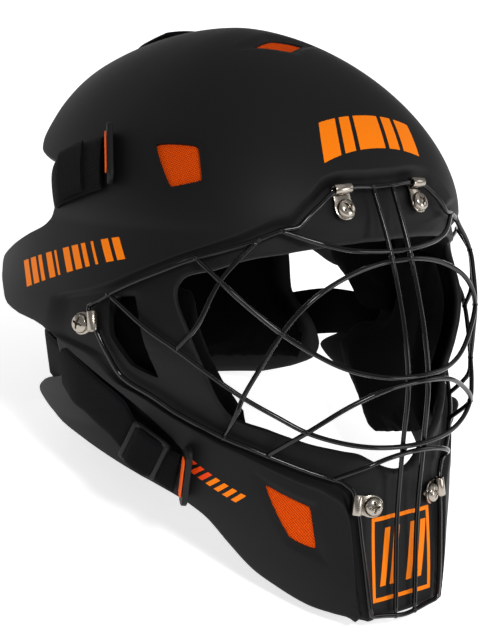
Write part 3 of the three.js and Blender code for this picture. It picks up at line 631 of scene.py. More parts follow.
def wedge(outline, near=60, far=210):
    """Corners of a wedge through the shell under an outline: its near ring and then its far ring."""
    rays = direction(outline[:, 0], outline[:, 1])
    return stand(np.concatenate([rays * near, rays * far]))


def cutter(wedges):
    """One object of all the wedges; each has its sides as quads and its two ends as polygons."""
    points, faces, offset = [], [], 0
    for corners in wedges:
        n = len(corners) // 2
        near, far = list(range(offset, offset + n)), list(range(offset + n, offset + 2 * n))
        faces += [[near[i], far[i], far[(i + 1) % n], near[(i + 1) % n]] for i in range(n)]
        faces += [near, far[::-1]]
        points.append(corners)
        offset += 2 * n
    mesh = bpy.data.meshes.new("cutter")
    mesh.from_pydata(np.concatenate(points).tolist(), [], faces)
    mesh.update()
    tool = bpy.data.objects.new("cutter", mesh)
    bpy.context.scene.collection.objects.link(tool)
    return tool


COLUMNS = 450
turns = np.linspace(-180, 180, COLUMNS, endpoint=False)
profile_out, profile_depth = shell_profile(turns)
skin = surface(np.broadcast_to(turns, profile_out.shape), profile_out, profile_depth)
quads = grid_faces(*profile_out.shape, close_rows=True, close_columns=True)
shell = join_parts("mask_shell", [(stand(skin), quads)])
wedges = []
for name, (outline, _, _) in HOLES.items():
    wedges.append(wedge(rounded(outline)))
    if name != "top_vent":
        wedges.append(wedge(rounded((outline * [-1, 1])[::-1])))
tool = cutter(wedges)
cut = shell.modifiers.new("vents", "BOOLEAN")
cut.object, cut.operation, cut.solver = tool, "DIFFERENCE", "EXACT"
finish_mesh(shell)
bpy.data.objects.remove(tool)
place_piece(shade(shell, 38), "shell", "shell", "shell")
print("shell faces:", len(shell.data.polygons))

# %% [markdown]
# Each vent is closed from inside with a scrap of orange mesh. A patch between four corners is blended
# from the corner angles and dished a little, the way stretched fabric sits in its frame.

# %% Vent meshes
# Millimetres of the UV map for each degree, the depth of each vent's mesh, of its back and its dish
UV_PER_DEGREE = 2.3
MESH_DEPTH = {"top": 2.6, "side": 1.9, "chin": 1.9}
MESH_BACK, MESH_DISH, MESH_OVERLAP = 3.4, 0.5, 1.02


def corner_grid(corners, rows, columns):
    """Angles on a grid between four corners, by straight blends both ways, and its u and v."""
    u, v = np.meshgrid(np.linspace(0, 1, rows), np.linspace(0, 1, columns), indexing="ij")
    a, b, c, d = [np.array(corner, float) for corner in corners]
    near = (1 - v)[..., None] * a + v[..., None] * b
    far = (1 - v)[..., None] * d + v[..., None] * c
    angles = (1 - u)[..., None] * near + u[..., None] * far
    return angles[..., 0], angles[..., 1], u, v


def slab(corners, top, bottom, dish, rows=30, columns=30):
    """Closed thin body over four corners, between two depths, with a UV map in millimetres. Its dish
    is 16 u (1 - u) v (1 - v), which is 1 in the middle."""
    around, out, u, v = corner_grid(corners, rows, columns)
    bowl = dish * 16 * u * (1 - u) * v * (1 - v)
    upper, lower = [surface(around, out, depth + bowl) for depth in (top, bottom)]
    uv = np.stack([around, out], -1).reshape(-1, 2) * UV_PER_DEGREE
    return *closed_body(upper, lower), np.concatenate([uv, uv])


for vent, depth in MESH_DEPTH.items():
    outline = HOLES[f"{vent}_vent"][0]
    corners = outline.mean(0) + MESH_OVERLAP * (outline - outline.mean(0))
    part = slab(corners, depth, MESH_BACK, MESH_DISH)
    if vent == "top":
        place_piece(shade(join_parts("vent_mesh_top_fabric", [part])), "mesh", "mesh", "vent_mesh_top")
        continue
    for side, hand in HANDS:
        piece = shade(join_parts(f"vent_mesh_{vent}_fabric_{side}", [hand(part)]))
        place_piece(piece, "mesh", "mesh", f"vent_mesh_{vent}_{side}")
print("vent meshes:", 2 * len(MESH_DEPTH) - 1)

# %% [markdown]
# The cage is bent from steel wire and welded where the wires cross, then enamelled. A wire is a
# circle carried along a curve: at each point of the curve the circle stands across its direction.

# %% The cage
# Millimetres: the wire, how high the frame wire runs over the face panel, and the beads of the welds
WIRE_RADIUS, WIRE_LIFT, BEAD_RADIUS = 1.2, 3.9, 1.5
# Tubes and turned parts are closed by drawing their last ring in to almost nothing
DRAWN_IN = 0.02


def curve_through(points, samples):
    """Centripetal Catmull-Rom curve through the points, spread evenly over the samples."""
    p = np.asarray(points, float)
    p = np.concatenate([[2 * p[0] - p[1]], p, [2 * p[-1] - p[-2]]])
    knots = np.concatenate([[0], np.cumsum(np.sqrt(np.linalg.norm(np.diff(p, axis=0), axis=1)))])
    t = np.linspace(knots[1], knots[-2], samples)
    i = np.clip(np.searchsorted(knots, t, side="right") - 1, 1, len(p) - 3)

    def mix(a, b, ta, tb):
        return ((tb - t) / (tb - ta))[:, None] * a + ((t - ta) / (tb - ta))[:, None] * b

    k = [knots[i + s] for s in (-1, 0, 1, 2)]
    q = [p[i + s] for s in (-1, 0, 1, 2)]
    first = [mix(q[s], q[s + 1], k[s], k[s + 1]) for s in range(3)]
    second = [mix(first[s], first[s + 1], k[s], k[s + 2]) for s in range(2)]
    return mix(second[0], second[1], k[1], k[2])


def wire(path, radius=WIRE_RADIUS, sides=12, closed=False):
    """Circle of the radius carried along the path. Across each point stand two directions: one
    points away from the head, the other is the cross product of that and the path's direction."""
    along = np.roll(path, -1, 0) - np.roll(path, 1, 0) if closed else np.gradient(path, axis=0)
    along /= np.linalg.norm(along, axis=1)[:, None]
    away = path / np.linalg.norm(path, axis=1)[:, None]
    away = away - (away * along).sum(1)[:, None] * along
    away /= np.linalg.norm(away, axis=1)[:, None]
    across = np.cross(along, away)
    angle = np.linspace(0, 2 * math.pi, sides, endpoint=False)
    size = np.full(len(path), radius)
    if not closed:
        size[[0, -1]] = DRAWN_IN
    ring = np.cos(angle)[None, :, None] * away[:, None] + np.sin(angle)[None, :, None] * across[:, None]
    points = path[:, None] + size[:, None, None] * ring
    return stand(points), grid_faces(len(path), sides, close_rows=closed, close_columns=True)


def wire_place(around):
    """Point of the frame wire, lifted clear of the face panel."""
    around = np.asarray(around, float)
    turn = np.abs(around)
    return surface(around, smooth(WIRE_LINE, turn, flat_ends=True), np.interp(turn, *RECESS.T) - WIRE_LIFT)


# Each arc: where it is welded to the frame wire, then the points of its right half up to the middle
ARCS = {
    "brow": (43.5, [[-39.5, -107.5, 53.1], [-28.7, -111.6, 50.3], [-13.1, -114.8, 48.6], [0, -115.6, 48.2]]),
    "upper": (115.9, [[-78.8, -88.4, -25.4], [-76.7, -91.6, -16], [-71.5, -97.8, -1.7],
                      [-64.7, -104.9, 14.3],
                      [-57.3, -108.9, 24.1], [-47.3, -112, 32], [-28.8, -115.2, 40], [-12, -116.6, 43.4],
                      [0, -116.9, 43.8]]),
    "middle": (61.5, [[-83.4, -83.4, 38], [-77, -92, 28.5], [-64.7, -104.9, 14.3], [-52.5, -113.2, 4.7],
                      [-40.6, -120, -2.4], [-28.9, -125.5, -6.4], [-15.8, -129.6, -8.8], [0, -131.2, -9.4]]),
    "lower": (75.4, [[-104.4, -56.3, 14.2], [-97.1, -68.1, 5.6], [-87.5, -79.8, -5.2], [-76.7, -91.6, -16],
                     [-65.5, -102.9, -24.9], [-55.1, -111.7, -32.2], [-40.2, -120.1, -38],
                     [-23.1, -126, -41.6], [0, -128.6, -43]]),
    "rising": (126.5, [[-55.1, -111.7, -32.2], [-36.9, -122.4, -20.3], [-20.1, -128.8, -13.9],
                       [0, -131.4, -12]]),
    "chin": (147.2, [[-28.6, -121.8, -51.6], [-16.1, -126.5, -47.6], [0, -128.3, -46]]),
}
# Two bars run down the middle, and a side wire down each cheek, from a weld on the frame wire
BAR_TOP, BAR_FOOT, SIDE_TOP = 4.7, 177.1, 49.5
CENTRE_BAR = [[-6.2, -116.9, 44], [-6.6, -128.8, -8], [-7, -126.1, -44], [-6.8, -122.9, -78.6]]
SIDE_WIRE = [[-83.4, -83.4, 38], [-92.2, -77, 17.2], [-97.1, -68.1, 5.6]]
frame_turns = np.linspace(-180, 180, 420, endpoint=False)
wires = [wire(wire_place(frame_turns), closed=True)]
for start, half in ARCS.values():
    right = np.vstack([wire_place(start), half])
    whole = np.vstack([right, right[-2::-1] * [-1, 1, 1]])
    wires.append(wire(curve_through(whole, 150)))
for side in (1, -1):
    centre = np.vstack([wire_place(BAR_TOP), CENTRE_BAR, wire_place(BAR_FOOT)]) * [side, 1, 1]
    cheek = np.vstack([wire_place(SIDE_TOP), SIDE_WIRE]) * [side, 1, 1]
    wires += [wire(curve_through(centre, 110)), wire(curve_through(cheek, 50))]


def bead(place, rows=9, columns=14):
    """Small weld: a ball, from the sines and cosines of its angle down and its angle round."""
    down = np.linspace(0.05, math.pi - 0.05, rows)[:, None]
    turn = np.linspace(0, 2 * math.pi, columns, endpoint=False)
    ball = [np.sin(down) * np.cos(turn), np.sin(down) * np.sin(turn), np.cos(down) + 0 * turn]
    points = place + BEAD_RADIUS * np.stack(ball, -1)
    return stand(points), grid_faces(rows, columns, close_columns=True)


# Where wires cross, and the welds along the frame wire
WELDS = [[-64.7, -104.9, 14.3], [-76.7, -91.6, -16], [-55.1, -111.7, -32.2], [-83.4, -83.4, 38],
         [-97.1, -68.1, 5.6], [-6.2, -116.4, 45.5], [-6.6, -130, -9.6], [-7, -127.3, -43.8]]
ends = [list(wire_place(a)) for a in (*[start for start, _ in ARCS.values()], SIDE_TOP, BAR_TOP, BAR_FOOT)]
welds = [bead(np.array(weld) * [side, 1, 1]) for weld in WELDS + ends for side in (1, -1)]
cage = join_parts("face_cage", wires + welds)
place_piece(shade(cage, 60), "wire", "wire", "cage")
print("cage wires:", len(wires), "welds:", len(welds))

# %% [markdown]
# Six clips hold the cage. Each is a strip of pressed steel: flat and round-ended under its screw, then
# rolled over the wire. So it is a thin ribbon carried along a path that first runs straight and then
# turns most of a circle. The screws are turned heads with a cross recess pressed in.

# %% Clips and screws
def surface_normal(around, out):
    """Outward normal from the cross product of small steps along both angles."""
    step_out = surface(around, out + 1) - surface(around, out - 1)
    normal = np.cross(step_out, surface(around + 1, out) - surface(around - 1, out))
    normal /= np.linalg.norm(normal)
    return normal * np.sign(normal @ direction(around, out))


def clip_axes(around, screw_place):
    """Origin on the wire and three axes: towards the screw, along the wire, and outward."""
    out = float(smooth(WIRE_LINE, np.array(around), flat_ends=True))
    origin, normal = wire_place(around), surface_normal(around, out)
    across = screw_place - origin
    across -= (across @ normal) * normal
    across /= np.linalg.norm(across)
    return origin, np.stack([across, np.cross(normal, across), normal])


def placed(points, axes):
    """Local millimetres to the row frame."""
    origin, basis = axes
    return stand(origin + points @ basis)


# Millimetres: the strip's thickness, its half width at the screw and at the wire, and the radius of
# the roll's middle
CLIP_THICK, CLIP_HALF, CLIP_NECK, CLIP_ROLL = 0.9, 5.3, 4.6, 2.15
# Across the strip: half width and thickness as shares, with the edges broken
CLIP_SECTION = np.array([[-1, 1 / 3], [-0.94, 1 / 2], [0.94, 1 / 2], [1, 1 / 3]])


def clip(reach, axes):
    """Ribbon that runs straight under the screw and then 285 degrees round the wire. Its end is a half
    circle, so there its half width is the root of radius squared less distance squared."""
    run = np.linspace(reach + CLIP_HALF - 0.05, 0, 40)
    angle = np.radians(np.linspace(-90, -375, 40))[1:]
    straight = np.stack([run, np.full(40, -CLIP_ROLL)], -1)
    middle = np.concatenate([straight, CLIP_ROLL * np.stack([np.cos(angle), np.sin(angle)], -1)])
    tangent = np.gradient(middle, axis=0)
    tangent /= np.linalg.norm(tangent, axis=1)[:, None]
    normal = np.stack([-tangent[:, 1], tangent[:, 0]], -1)
    past = np.clip(middle[:, 0] - reach, 0, CLIP_HALF - 0.1)
    widening = ramp(middle[:, 0], reach - 4.5, reach - 1.5)
    half = np.minimum(np.sqrt(CLIP_HALF**2 - past**2),
                      CLIP_NECK + (CLIP_HALF - CLIP_NECK) * widening)
    half[0] = 0.7
    section = np.concatenate([CLIP_SECTION, CLIP_SECTION[::-1] * [1, -1]])
    flat = middle[:, None] + CLIP_THICK * section[None, :, 1, None] * normal[:, None]
    points = np.stack([flat[..., 0], half[:, None] * section[:, 0], flat[..., 1]], -1)
    for end in (0, -1):
        points[end] = points[end].mean(0) + 0.05 * (points[end] - points[end].mean(0))
    return placed(points, axes), grid_faces(*points.shape[:2], close_columns=True)


# Millimetres: the head's radius, the recess arm's half length and half width, the radius and the
# foot of the stem, and the underside of the head
HEAD, ARM, ARM_HALF, STEM, STEM_FOOT, UNDERSIDE = 4.7, 2.9, 0.55, 1.9, -8.4, -1.6


def screw(reach, axes, turn):
    """Pan head on a grid of radius by angle. Its height is a steep rim, 1 - r^7 to the power a half,
    and a shallow dome, 1 - r^2, less a cross-shaped recess whose walls slope."""
    radius = np.concatenate([np.linspace(DRAWN_IN, 4.0, 34), np.linspace(4.1, HEAD, 10)])
    angle = np.linspace(0, 2 * math.pi, 96, endpoint=False)
    r, a = np.meshgrid(radius, angle, indexing="ij")
    dome = -1.2 + 1.7 * (1 - (r / (HEAD + 0.02)) ** 7) ** 0.5 + 1.2 * (1 - (r / HEAD) ** 2)
    u, v = np.abs(r * np.cos(a)), np.abs(r * np.sin(a))
    arm = np.minimum(np.maximum(u - ARM, v - ARM_HALF), np.maximum(v - ARM, u - ARM_HALF))
    heart = np.hypot(u, v) - 1.2
    cross = ramp(-np.minimum(arm, heart), 0, 0.35) * (1 - 0.4 * ramp(r, 0.8, ARM))

    def circle(size, level):
        around = angle + turn
        return np.stack([reach + size * np.cos(around), size * np.sin(around), np.full(96, level)], -1)

    top = np.stack([reach + r * np.cos(a + turn), r * np.sin(a + turn), dome - 2.3 * cross], -1)
    rings = [circle(HEAD, UNDERSIDE), circle(STEM, UNDERSIDE), circle(STEM, STEM_FOOT),
             circle(DRAWN_IN, STEM_FOOT)]
    points = np.concatenate([top, rings])
    return placed(points, axes), grid_faces(len(points), 96, close_columns=True)


# Each clip: its turn on the frame wire, millimetres to its screw, the screw's angles and the cross's turn
CLIPS = {"brow": (17.6, 9.4, (19.6, 34.9), 0.5), "side": (82.2, 8.6, (83.4, 81.6), 1.1),
         "chin": (158.3, 8.6, (164.3, 31.3), 0.2)}
for name, (around, reach, spot, turn) in CLIPS.items():
    axes = clip_axes(around, surface(*spot))
    for side, hand in HANDS:
        strip = join_parts(f"clip_{name}_steel_{side}", [hand(clip(reach, axes))])
        place_piece(shade(strip, 50), "nickel", "nickel", f"clip_{name}_{side}")
        cross_turn = turn if side == "right" else -turn - 0.4
        head = join_parts(f"screw_{name}_head_{side}", [hand(screw(reach, axes, cross_turn))])
        place_piece(shade(head, 35), "nickel", "nickel", f"screw_{name}_{side}")
print("clips and screws:", 2 * len(CLIPS), "of each")

# %% [markdown]
# Inside sit the cushions: foam under stretch fabric, glued into the shell. Each starts as a closed
# block between two depths with soft corners, and is then blown up gently as cloth so that its faces
# crown and its edges draw in, as sewn or welded foam covers do.

# %% Cushions
def cushion(arounds, start, end, top, bottom, columns=40, rows=26):
    """Closed pillow between two depths. Its half thickness is (1 - u^6)(1 - v^6) to the power 0.4,
    with u and v from -1 to 1 across it."""
    u, v = np.linspace(-1, 1, rows)[:, None], np.linspace(-1, 1, columns)
    knots = np.linspace(-1, 1, len(arounds))
    around, low, high = [np.interp(v, knots, values) for values in (arounds, start, end)]
    out = low + (u + 1) / 2 * (high - low)
    half = (bottom - top) / 2 * ((1 - u**6) * (1 - v**6)) ** 0.4
    upper, lower = [surface(around + 0 * u, out, (top + bottom) / 2 + way * half) for way in (-1, 1)]
    return closed_body(upper, lower, sewn=True)


# The even mesh, the pressure from inside, how far a point may move, and for how many frames
VOXEL, PRESSURE, CAP, FRAMES = 0.0024, 4.0, 0.0018, 20


def blow_up(piece):
    """Cloth pressed out from inside for a few frames; no point moves further than the cap."""
    remesh = piece.modifiers.new("even", "REMESH")
    remesh.mode, remesh.voxel_size = "VOXEL", VOXEL
    finish_mesh(piece)
    count = len(piece.data.vertices)
    rest = np.empty(count * 3, np.float32)
    piece.data.vertices.foreach_get("co", rest)
    cloth = piece.modifiers.new("cloth", "CLOTH")
    cloth.settings.use_pressure = True
    cloth.settings.uniform_pressure_force = PRESSURE
    cloth.settings.effector_weights.gravity = 0
    cloth.settings.quality = 4
    scene = bpy.context.scene
    for number in range(1, FRAMES + 1):
        scene.frame_set(number)
    finish_mesh(piece)
    moved = np.empty(count * 3, np.float32)
    piece.data.vertices.foreach_get("co", moved)
    shift = (moved - rest).reshape(-1, 3)
    size = np.linalg.norm(shift, axis=1)[:, None]
    shift *= np.minimum(1, CAP / np.maximum(size, 1e-9))
    piece.data.vertices.foreach_set("co", (rest.reshape(-1, 3) + shift).ravel())
    piece.data.update()
    scene.frame_set(1)
    detail = piece.modifiers.new("fine", "SUBSURF")
    detail.levels = detail.render_levels = 1
    return finish_mesh(piece)


def pad_piece(name, part, node):
    piece = blow_up(join_parts(name, [part]))
    place_piece(shade(piece, 60), "padding", "padding", node)


pad_piece("brow_cushion", cushion([-44, 0, 44], [47] * 3, [66] * 3, 6, 16, 70), "pad_brow")
pad_piece("crown_cushion", cushion([-50, 0, 50], [88] * 3, [97] * 3, 7.5, 16, 80, 16), "pad_crown")
# Each: angles around, where it starts and ends at each, and the depths of its two faces
cheek = cushion([68, 78, 86, 94, 98, 106, 115, 124, 133], [54.5, 51.5, 49, 46.5, 45, 43, 41, 42, 45.5],
                [75, 77, 79, 80, 98, 103, 97, 87, 77], 11.6, 23)
temple = cushion([58, 65, 71, 77, 82, 87, 93], [80.5] * 7, [98, 104, 108, 109, 106, 102, 96], 10.2, 22)
for side, hand in HANDS:
    pad_piece(f"cheek_cushion_{side}", hand(cheek), f"pad_cheek_{side}")
    pad_piece(f"temple_cushion_{side}", hand(temple), f"pad_side_{side}")
print("cushions in the shell: 6")

# %% [markdown]
# The back plate is a curved panel behind the head with its own cushion. Its outline is a half angle
# for each height, so the panel narrows towards its top and its foot.

# %% Back plate and its cushion
PLATE_SIDE, PLATE_BACK = 88.0, 92.0
PLATE_FLARE = 5.0
PLATE_OUTLINE = np.array([
    [-45, 48], [-41, 59], [-34, 68], [-25, 70], [-15, 69], [5, 61], [24, 60], [45, 56], [60, 47], [68, 34],
])


def plate_point(turn, height, out=0.0):
    """Ellipse round the back of the head at a height: x = -(a + out) sin t, y = (b + out) cos t. The
    half width a flares a little towards the nape."""
    t = np.radians(turn)
    wide = PLATE_SIDE + PLATE_FLARE * ramp(-np.asarray(height, float), 5, 32)
    return np.stack([-(wide + out) * np.sin(t), (PLATE_BACK + out) * np.cos(t), height + 0 * t], -1)


def plate_body(low, high, outer, inner, shrink, power, rows, columns, groove=0.0):
    """Closed panel between two faces. Its half thickness is (1 - u^power)(1 - v^power) to the power
    0.4, so a high power gives a firm edge and a low one a cushion. A groove may run inside the edge."""
    u, v = np.meshgrid(np.linspace(-1, 1, rows), np.linspace(-1, 1, columns), indexing="ij")
    height = low + (u + 1) / 2 * (high - low)
    turn = v * (smooth(PLATE_OUTLINE, height) - shrink)
    reach = np.maximum(np.abs(u), np.abs(v))
    half = (outer - inner) / 2 * ((1 - u**power) * (1 - v**power)) ** 0.4
    dent = groove * (ramp(reach, 0.86, 0.88) - ramp(reach, 0.9, 0.92))
    upper = plate_point(turn, height, (outer + inner) / 2 + half - dent)
    lower = plate_point(turn, height, (outer + inner) / 2 - half)
    return closed_body(upper, lower, sewn=True)


panel = join_parts("back_plate_panel", [plate_body(-45, 68, 0, -3, 0, 30, 60, 90, groove=0.7)])
place_piece(shade(panel, 50), "plastic", "plastic", "back_plate")
pad_piece("back_cushion", plate_body(-37, 62, -5.6, -14, 3, 6, 34, 60), "back_pad")
print("back plate faces:", len(panel.data.polygons))

# %% [markdown]
# The straps are woven elastic, 2 mm thick. A strap is a flat loop of section carried along rows of
# three points: one edge, the middle and the other edge. Its UV map runs in millimetres along and
# across it, so the ribs of the weave follow every bend.

# %% Straps
def strap(rows, thick=2.0, samples=110, across=15):
    """Band through rows of (edge, middle, edge). Along it each of the three is a smooth curve, across
    it runs the parabola through them, and the section's thickness falls away at its edges."""
    a, m, b = [curve_through(np.asarray(rows, float)[:, i], samples) for i in range(3)]
    s = np.linspace(0, 1, across)[None, :, None]
    face = a[:, None] * (1 - s) * (1 - 2 * s) + m[:, None] * 4 * s * (1 - s) + b[:, None] * s * (2 * s - 1)
    normal = np.cross(np.gradient(face, axis=0), np.gradient(face, axis=1))
    normal /= np.linalg.norm(normal, axis=2)[..., None]
    half = thick / 2 * (1 - np.abs(2 * s - 1) ** 14) ** 0.5 + 0.05
    loop = np.concatenate([face + half * normal, (face - half * normal)[:, ::-1]], 1)
    length = np.concatenate([[0], np.cumsum(np.linalg.norm(np.diff(m, axis=0), axis=1))])
    over = np.concatenate([s.ravel(), s.ravel()[::-1]]) * np.linalg.norm(b[0] - a[0])
    uv = np.stack(np.broadcast_arrays(length[:, None], over[None]), -1)
    i = np.arange(across - 1)
    start = np.stack([i, i + 1, 2 * across - 2 - i, 2 * across - 1 - i], -1)
    faces = [grid_faces(samples, 2 * across, close_columns=True), start[:, ::-1],
             start + (samples - 1) * 2 * across]
    return stand(loop), np.concatenate(faces), uv


def three_across(a, b):
    """One edge, the middle and the other edge of a row."""
    a, b = np.array(a, float), np.array(b, float)
    return a, (a + b) / 2, b


def shell_row(a, b, inset):
    """Row on the shell between two pairs of angles, set in by a depth."""
    return [surface(*point, inset) for point in three_across(a, b)]


def plate_row(a, b, out):
    """Row on the back plate between two pairs of turn and height."""
    return [plate_point(*point, out) for point in three_across(a, b)]


top_strap = [shell_row([5.4, out], [-5.4, out], -2.2) for out in (107, 112, 116.6)]
top_strap += [three_across([-13, 84, 124], [13, 84, 124]), three_across([-13, 95, 94], [13, 95, 94])]
top_strap += [plate_row([8, z], [-8, z], 2.2) for z in (62, 49, 36)]
# Rows on the shell: the two angles of one edge, of the other edge, and the depth, which is below
# zero where the strap lies over the shell and above it where it goes in under the rim
UPPER_ROWS = [
    [41.9, 88.2, 53.1, 82, -2.4], [42.8, 90.6, 54, 84.4, -2.4], [43.8, 93.4, 55, 87.4, -2.4],
    [45.4, 97, 56.4, 91.4, -2.4], [47.4, 101.4, 57.6, 96, -1.4], [49.4, 107, 58.6, 101.6, 6],
]
LOWER_ROWS = [
    [117.6, 59, 128, 64.8, -2], [114, 64, 122.8, 70.2, -1.8], [107.6, 69, 116.8, 75.5, -0.6],
    [103, 70.8, 113.1, 78.9, 0.6], [99.9, 73.6, 110.4, 83, 1.2], [97.2, 77, 107.4, 87.1, 1.5],
    [93.5, 81.4, 105.8, 90.6, 1.6], [90.6, 86.8, 103.8, 93.6, 3.4], [90, 93.2, 102, 98, 6.4],
]
# The end of the upper strap is folded back over it
FOLD_ROWS = [
    [43.9, 92.8, 54.5, 86.8, -4.6], [44.9, 95, 55.3, 89.2, -4.6], [45.9, 97.2, 56.2, 91.6, -4.6],
    [46.9, 99.2, 56.9, 93.6, -4.6],
]
upper_strap, lower_strap, fold = [[shell_row(row[:2], row[2:4], row[4]) for row in rows]
                                  for rows in (UPPER_ROWS, LOWER_ROWS, FOLD_ROWS)]
upper_strap += [three_across([-76, 50, 73], [-80, 42, 50])]
upper_strap += [plate_row([t, a], [t, b], 1.8) for t, a, b in ((48, 67, 42), (38, 65, 40), (28, 63, 38))]
lower_strap += [three_across([-97, 36, 3], [-92.5, 38, -23])]
lower_strap += [plate_row([t, a], [t, b], 1.8) for t, a, b in ((56, 0, -26), (46, -2, -28), (36, -4, -30))]
bands = {"top": strap(top_strap), "upper": strap(upper_strap), "lower": strap(lower_strap)}
for name, (_, _, uv) in bands.items():
    print(f"{name} strap: {uv[..., 0].max():.0f} mm long, {uv[..., 1].max():.0f} mm wide")
place_piece(shade(join_parts("strap_top_elastic", [bands["top"]]), 50), "webbing", "webbing", "strap_top")
for side, hand in HANDS:
    for name in ("upper", "lower"):
        piece = shade(join_parts(f"strap_{name}_elastic_{side}", [hand(bands[name])]), 50)
        place_piece(piece, "webbing", "webbing", f"strap_{name}_{side}")
    piece = shade(join_parts(f"strap_fold_{side}", [hand(strap(fold, 1.7, 40))]), 50)
    place_piece(piece, "webbing", "webbing")

# %% [markdown]
# Buckles and pull tabs are small mouldings with rounded edges. They sit on axes of their own on the
# shell, and their edges are rolled over in a few rings, so light runs round them.

# %% Small mouldings
def surface_axes(around, out, inset, along):
    """Origin on the shell with axes along a direction, across it, and outward."""
    normal = surface_normal(around, out)
    x = along / np.linalg.norm(along)
    x = x - (x @ normal) * normal
    x /= np.linalg.norm(x)
    return surface(around, out, inset), np.stack([x, np.cross(normal, x), normal])


def round_rectangle(width, height, radius, count=64):
    """Outline of a rectangle with round corners, the same number of points at every size."""
    t = np.linspace(0, 2 * math.pi, count, endpoint=False)
    x, y = np.cos(t), np.sin(t)
    corner = np.stack([np.sign(x) * (width / 2 - radius), np.sign(y) * (height / 2 - radius)], -1)
    return corner + radius * np.stack([x, y], -1)


def ring_plate(width, height, radius, thick, edge=0.5):
    """Flat moulding: rings of the outline, each set back and at a level, that roll over the edges. The
    first and last rings are drawn in to close it."""
    levels = [(edge, 0), (0, edge), (0, thick - edge), (0.3 * edge, thick - 0.3 * edge), (edge, thick)]
    rings = [(width - 2 * back, height - 2 * back, radius - back, level) for back, level in levels]
    middle = (0.3 * width, 0.3 * height, 0.1 * radius)
    rings = [(*middle, 0), *rings, (*middle, thick)]
    points = np.stack([np.column_stack([round_rectangle(*size), np.full(64, level)])
                       for *size, level in rings])
    closing = [DRAWN_IN, DRAWN_IN, 1]
    points = np.concatenate([points[:1] * closing, points, points[-1:] * closing])
    return points, grid_faces(len(points), 64, close_columns=True)


def turned(axes, degrees, kept):
    """The same axes turned about the one that is kept."""
    origin, basis = axes
    first, second = [i for i in range(3) if i != kept]
    c, s = math.cos(math.radians(degrees)), math.sin(math.radians(degrees))
    basis = basis.copy()
    basis[[first, second]] = c * basis[first] + s * basis[second], c * basis[second] - s * basis[first]
    return origin, basis


print("rings in a flat moulding:", len(ring_plate(10, 31, 4.0, 2.8)[0]))

# %% [markdown]
# Each lower strap runs through a slide buckle: a ladder of round-edged bars, with the strap looped up
# over the bar in its middle. The loop is a short strap of its own that hides that bar.

# %% Buckles
# Millimetres: the buckle's length, width and thickness, and the widths of its long and its end bars
BUCKLE_LENGTH, BUCKLE_WIDTH, BUCKLE_THICK, LONG_BAR, END_BAR = 21, 24, 2.4, 2.2, 2.4


def bar(start, end, width, height, sides=14):
    """Bar between two points of a plane. Its section is a squared circle, the cosine and sine to the
    power a half, which shrinks at either end."""
    start, end = np.array(start, float), np.array(end, float)
    t = np.array([0, 0.02, 0.06, 0.94, 0.98, 1])[:, None]
    size = np.array([0.05, 0.7, 1, 1, 0.7, 0.05])[:, None, None]
    along = (end - start) / np.linalg.norm(end - start)
    across = np.array([-along[1], along[0], 0])
    angle = np.linspace(0, 2 * math.pi, sides, endpoint=False)
    wide, tall = [np.sign(wave) * np.abs(wave) ** 0.5 for wave in (np.cos(angle), np.sin(angle))]
    ring = width / 2 * wide[:, None] * across + height / 2 * tall[:, None] * np.array([0, 0, 1])
    return (start + t * (end - start))[:, None] + size * ring, grid_faces(len(t), sides, close_columns=True)


def buckle(axes):
    """Four round-edged bars: two long sides and two ends, which reach a little past them."""
    x, y, z = (BUCKLE_LENGTH - LONG_BAR) / 2, (BUCKLE_WIDTH - LONG_BAR) / 2, BUCKLE_THICK / 2
    bars = [bar([-x, way * y, z], [x, way * y, z], LONG_BAR, BUCKLE_THICK) for way in (1, -1)]
    bars += [bar([way * x, -y - 1, z], [way * x, y + 1, z], END_BAR, BUCKLE_THICK) for way in (-1, 1)]
    return [(placed(points, axes), faces) for points, faces in bars]


buckle_run = surface(111.4, 71.2) - surface(119.7, 64.6)
buckle_axes = turned(surface_axes(115.5, 67.9, -2.2, buckle_run), 8, 2)
# The strap comes up through the buckle, over its hidden bar and down again: along it and its height
LOOP = [[-10.5, 0.2], [-8.6, 0.4], [-6, 2.6], [-2, 3.5], [2, 3.5], [6, 2.6], [8.6, 0.4], [10.5, 0.2]]
LOOP_HALF, LOOP_THICK = 11.4, 1.8
origin, basis = buckle_axes
edges = [[origin + np.array([x, y, z]) @ basis for y in (LOOP_HALF, 0, -LOOP_HALF)] for x, z in LOOP]
loop, buckle_bars = strap(edges, LOOP_THICK, 60), buckle(buckle_axes)
for side, hand in HANDS:
    made = join_parts(f"strap_loop_{side}", [hand(loop)])
    place_piece(shade(made, 50), "webbing", "webbing")
    made = join_parts(f"buckle_moulded_{side}", [hand(part) for part in buckle_bars])
    place_piece(shade(made, 50), "plastic", "plastic", f"buckle_{side}")
print("buckles: 2, of", len(buckle_bars), "bars each")

# %% [markdown]
# Each pull tab is a moulded loop that stands up from the shell, edge on to the wearer's front, with a
# face of orange rubber. It is a flat moulding stood on its end and leaned over along the strap.

# %% Pull tabs
# Each tab: its place, how far its foot is set in, the direction it faces, its length and its lean
TABS = {"lower": (122.6, 60.6, 0, surface(119.4, 66) - surface(127.4, 52.8), 31.0, 33),
        "upper": (46.4, 84.9, -0.1, surface(50.4, 90) - surface(42.4, 77.6), 33.0, 45)}


def upright(points, x, lift):
    """Turns a flat moulding so that it stands up from the shell, across the strap."""
    return np.stack([x - points[..., 2], points[..., 1], points[..., 0] + lift], -1)


